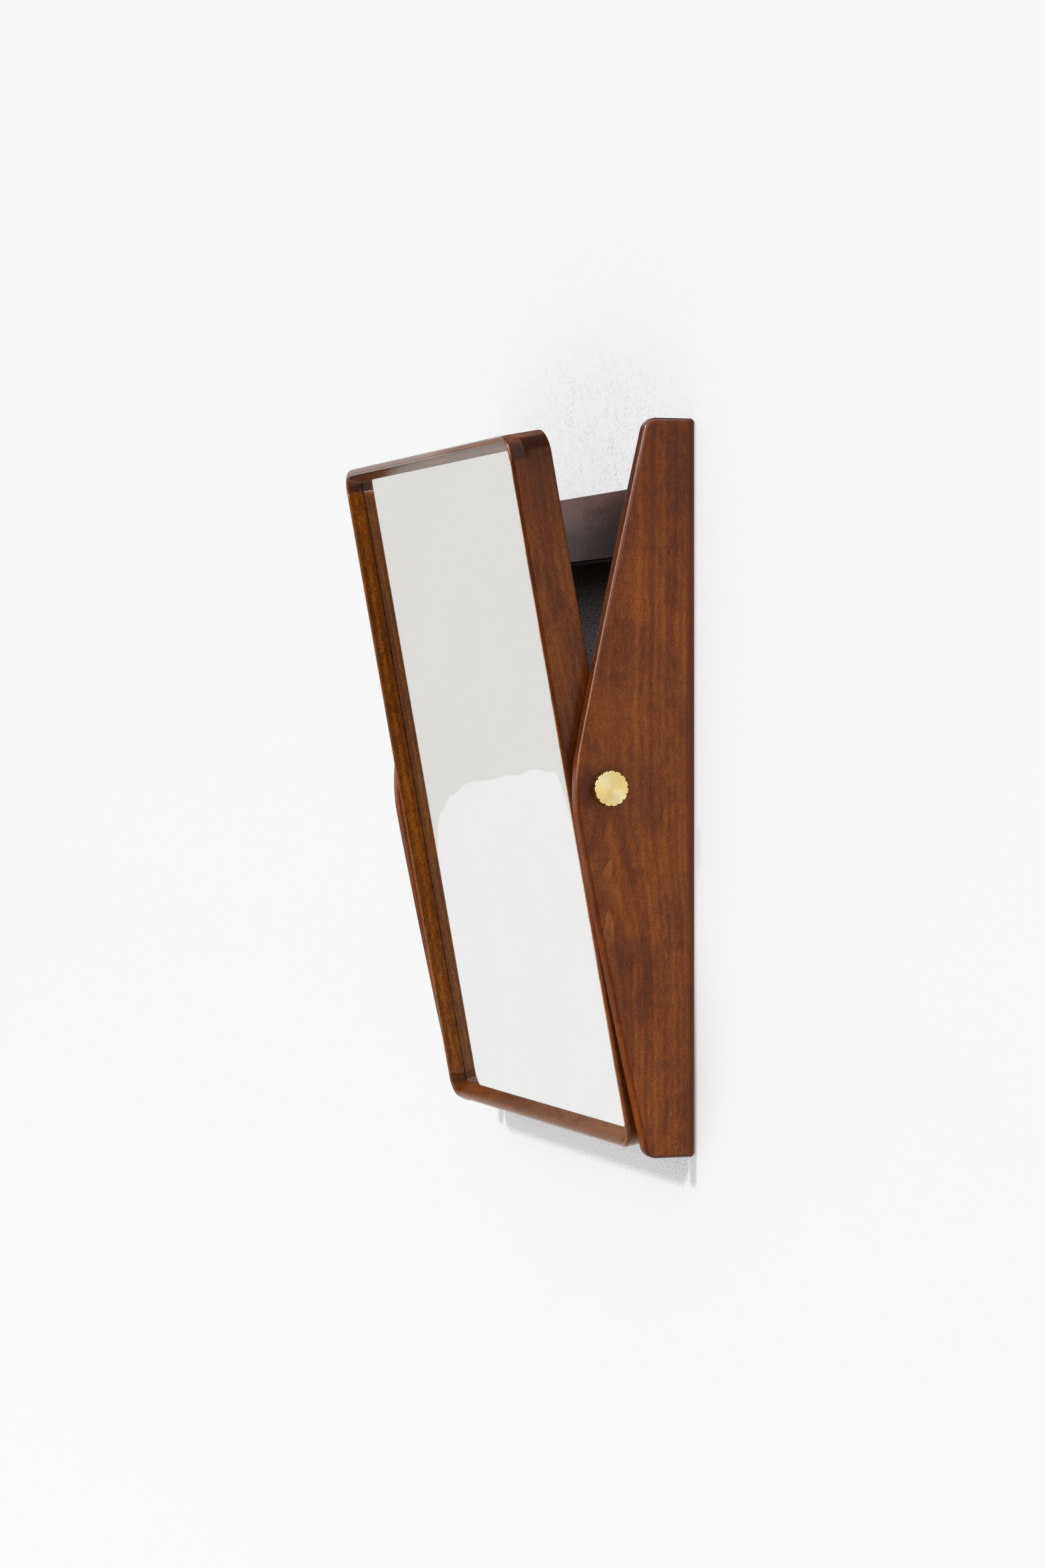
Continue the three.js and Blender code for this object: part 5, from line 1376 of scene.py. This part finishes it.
# no glow in the nook, so its painted shade stays dark
nook_no_glow = w.math("MULTIPLY", w.math("MULTIPLY", w.span(w.math("ABSOLUTE", wx), 0.212, 0.198, 0, 1, True), w.span(wz, -0.40, -0.37, 0, 1, True)), w.span(wz, 0.024, 0.016, 0, 1, True))
we = w.node("Emission")
w.set(we.inputs[0], w.mix(strokes, (0.940, 0.943, 0.955), (0.30, 0.30, 0.32)))
w.set(we.inputs[1], w.math("MULTIPLY", w.math("SUBTRACT", 1.0, nook_no_glow), glow_share))
wa = w.node("AddShader")
w.nt.links.new(wd.outputs[0], wa.inputs[0])
w.nt.links.new(we.outputs[0], wa.inputs[1])
w.set(wd.inputs["Normal"], w.bump(skim, 0.0004, 0.12))
wt = w.node("BsdfTransparent")
wm = w.node("MixShader")
w.set(wm.inputs[0], seen)
w.nt.links.new(wt.outputs[0], wm.inputs[1])
w.nt.links.new(wa.outputs[0], wm.inputs[2])
w.nt.links.new(wm.outputs[0], w.out.inputs[0])
g = Geo()
xs, zs = np.linspace(-2.8, 1.2, 9), np.linspace(-1.55, 1.3, 7)
g.add([(1000 * x, 0, 1000 * z) for z in zs for x in xs],
      [(j * 9 + i, j * 9 + i + 1, (j + 1) * 9 + i + 1, (j + 1) * 9 + i) for j in range(6) for i in range(8)])
wall = make("plaster_wall", g, recalc=False)
wall.location = (0, 0.0008, 0)
wall.data.materials.append(w.mat)
if wall.data.polygons[0].normal.y > 0:
    wall.data.flip_normals()
wall.visible_diffuse = False
wall.visible_shadow = False
wall.visible_glossy = False

# a white screen out in the room, seen only in the mirror
CAM = np.array([2661.8, -980.1, -146.3])
LOOK, RIGHT = np.array([-0.9445, 0.3285, 0.0]), np.array([0.3285, 0.9445, 0.0])
ca, sa = math.cos(math.radians(TILT)), math.sin(math.radians(TILT))
NRM = np.array([0.0, ca, sa])
ORG = np.array([0.0, PIVOT_Y, -RAIL_OFF]) + NRM * -13.60
EDGE = [(-190, -760), (-160, -400), (-132, -300), (-129, -217), (-124, -137), (-116.5, -129.5), (-109, -112), (-96.5, -104.5), (-86.5, -93), (-72, -89.5),
        (-44, -85.7), (-29, -80.7), (-4, -79.5), (8.5, -73), (23.5, -70.7), (36, -74.5), (48.5, -74.5), (54.7, -82), (59.7, -97), (66, -122),
        (86, -184), (112, -317), (146, -517), (230, -760)]
far = Geo()
pts3 = []
mid_dir = LOOK - 2 * (LOOK @ NRM) * NRM
for u, v in EDGE:
    d = LOOK + (u / 5553.33) * RIGHT + (v / 5553.33) * np.array([0.0, 0.0, 1.0])
    hit = CAM + d * (((ORG - CAM) @ NRM) / (d @ NRM))
    r = d - 2 * (d @ NRM) * NRM
    pts3.append(hit + r * (2600.0 / (r @ mid_dir)))
far.v = [tuple(p) for p in pts3]
far.f = [tuple(range(len(pts3)))]
card = make("white_screen", far, recalc=False)
cm = Nodes("screen_white")
ce = cm.node("Emission")
cn = cm.noise(cm.coords(), 0.7, 2.0, 0.5)
cm.set(ce.inputs[0], cm.mix(cn, (0.965, 0.965, 0.970), (1.0, 1.0, 1.0)))
ce.inputs[1].default_value = 0.975
cm.nt.links.new(ce.outputs[0], cm.out.inputs[0])
card.data.materials.append(cm.mat)
card.visible_camera = False
card.visible_diffuse = False
card.visible_shadow = False
card.visible_volume_scatter = False

sun = bpy.data.lights.new("window", "SUN")
sun.energy = 1.75
sun.angle = math.radians(6.5)
sun.color = (1.0, 0.985, 0.965)
key = bpy.data.objects.new("window", sun)
SCENE.collection.objects.link(key)
el, az = math.radians(33), math.radians(0)
from_dir = Vector((math.sin(az) * math.cos(el), -math.cos(az) * math.cos(el), math.sin(el)))
key.rotation_euler = from_dir.to_track_quat("Z", "Y").to_euler()

world = bpy.data.worlds.new("room")
world.cycles.sampling_method = "NONE"
SCENE.world = world
world.use_nodes = True
nt = world.node_tree
nt.nodes.clear()
wo = nt.nodes.new("ShaderNodeOutputWorld")
tc = nt.nodes.new("ShaderNodeTexCoord")


def wmath(op, a, b=None, clamp=False):
    n = nt.nodes.new("ShaderNodeMath")
    n.operation, n.use_clamp = op, clamp
    for s, v in zip(n.inputs, (a, b)):
        if isinstance(v, bpy.types.NodeSocket):
            nt.links.new(v, s)
        elif v is not None:
            s.default_value = v
    return n.outputs[0]


def wdot(direction):
    n = nt.nodes.new("ShaderNodeVectorMath")
    n.operation = "DOT_PRODUCT"
    nt.links.new(tc.outputs["Generated"], n.inputs[0])
    n.inputs[1].default_value = direction
    return n.outputs["Value"]


def wspan(v, lo, hi, a, b):
    n = nt.nodes.new("ShaderNodeMapRange")
    n.interpolation_type = "SMOOTHSTEP"
    nt.links.new(v, n.inputs["Value"])
    for s, x in (("From Min", lo), ("From Max", hi), ("To Min", a), ("To Max", b)):
        n.inputs[s].default_value = x
    return n.outputs[0]


base = wspan(wdot((0, 1, 0)), 0.35, 0.85, 0.64, 0.22)          # dimmer behind the wall
side_glow = wspan(wdot((-0.94, -0.32, -0.10)), 0.75, 1.0, 0.0, 0.16)
amb = wmath("ADD", base, side_glow)
shade_side = wspan(wdot((0.80, -0.60, 0.0)), 0.55, 0.93, 0.0, 0.86)    # the dark side of the room
far_side = wspan(wdot((-0.94, -0.32, -0.13)), 0.75, 1.0, 0.0, 0.10)
door = wspan(wdot((0.9445, 0.3285, 0.0)), 0.80, 0.965, 0.0, 0.02)
gloss = wmath("SUBTRACT", wmath("SUBTRACT", wmath("SUBTRACT", 0.93, shade_side), far_side), door)
# a tall window in front of the wall
wsep = nt.nodes.new("ShaderNodeSeparateXYZ")
nt.links.new(tc.outputs["Generated"], wsep.inputs[0])
pane_x = wspan(wmath("ABSOLUTE", wsep.outputs[0]), 0.44, 0.24, 0.0, 1.0)
pane_z = wmath("MULTIPLY", wspan(wsep.outputs[2], -0.06, 0.12, 0.0, 1.0), wspan(wsep.outputs[2], 0.75, 0.60, 0.0, 1.0))
pane_y = wspan(wsep.outputs[1], -0.3, -0.5, 0.0, 1.0)
window = wmath("MULTIPLY", wmath("MULTIPLY", pane_x, pane_z), pane_y)
gloss = wmath("ADD", gloss, wmath("MULTIPLY", window, 9.0))
# lacquer sees a dim far corner and the dim wall; the mirror, being sharp, does not
lp = nt.nodes.new("ShaderNodeLightPath")
blurred = wmath("SUBTRACT", 1.0, lp.outputs["Is Singular Ray"])
corner = wmath("MULTIPLY", wspan(wdot((-0.9445, -0.3285, 0.0)), 0.90, 0.97, 0.0, 0.80), wspan(wmath("ABSOLUTE", wsep.outputs[2]), 0.04, 0.12, 0.0, 1.0))
behind = wmath("MULTIPLY", wspan(wsep.outputs[1], 0.12, 0.28, 0.0, 0.90), wspan(wsep.outputs[0], 0.0, -0.4, 0.0, 1.0))
gloss = wmath("SUBTRACT", gloss, wmath("MULTIPLY", blurred, wmath("ADD", corner, behind)))
bg_amb = nt.nodes.new("ShaderNodeBackground")
bg_amb.inputs[0].default_value = (0.985, 0.992, 1.0, 1)
nt.links.new(amb, bg_amb.inputs[1])
bg_cam = nt.nodes.new("ShaderNodeBackground")
bg_cam.inputs[0].default_value = (0.940, 0.940, 0.955, 1)
bg_cam.inputs[1].default_value = 1.0
bg_gloss = nt.nodes.new("ShaderNodeBackground")
bg_gloss.inputs[0].default_value = (1.0, 0.985, 0.965, 1)
nt.links.new(gloss, bg_gloss.inputs[1])
mixg = nt.nodes.new("ShaderNodeMixShader")
nt.links.new(lp.outputs["Is Glossy Ray"], mixg.inputs[0])
nt.links.new(bg_amb.outputs[0], mixg.inputs[1])
nt.links.new(bg_gloss.outputs[0], mixg.inputs[2])
mixw = nt.nodes.new("ShaderNodeMixShader")
nt.links.new(lp.outputs["Is Camera Ray"], mixw.inputs[0])
nt.links.new(mixg.outputs[0], mixw.inputs[1])
nt.links.new(bg_cam.outputs[0], mixw.inputs[2])
nt.links.new(mixw.outputs[0], wo.inputs[0])

cam_data = bpy.data.cameras.new("camera")
cam_data.lens = 85
cam_data.sensor_fit = "AUTO"
cam_data.sensor_width = 36
cam_data.shift_y = -0.0395
cam_data.clip_start = 0.05
cam_data.clip_end = 60
cam = bpy.data.objects.new("camera", cam_data)
SCENE.collection.objects.link(cam)
cam.location = (2.6618, -0.9801, -0.1463)
cam.rotation_euler = (math.radians(90), 0, math.radians(70.82))
SCENE.camera = cam

SCENE.view_settings.view_transform = "Standard"
SCENE.view_settings.look = "None"
SCENE.view_settings.exposure = 0
SCENE.view_settings.gamma = 1
SCENE.cycles.max_bounces = 8
SCENE.cycles.diffuse_bounces = 4
SCENE.cycles.glossy_bounces = 5
SCENE.cycles.transmission_bounces = 8
SCENE.cycles.transparent_max_bounces = 8
SCENE.cycles.caustics_reflective = False
SCENE.cycles.caustics_refractive = False
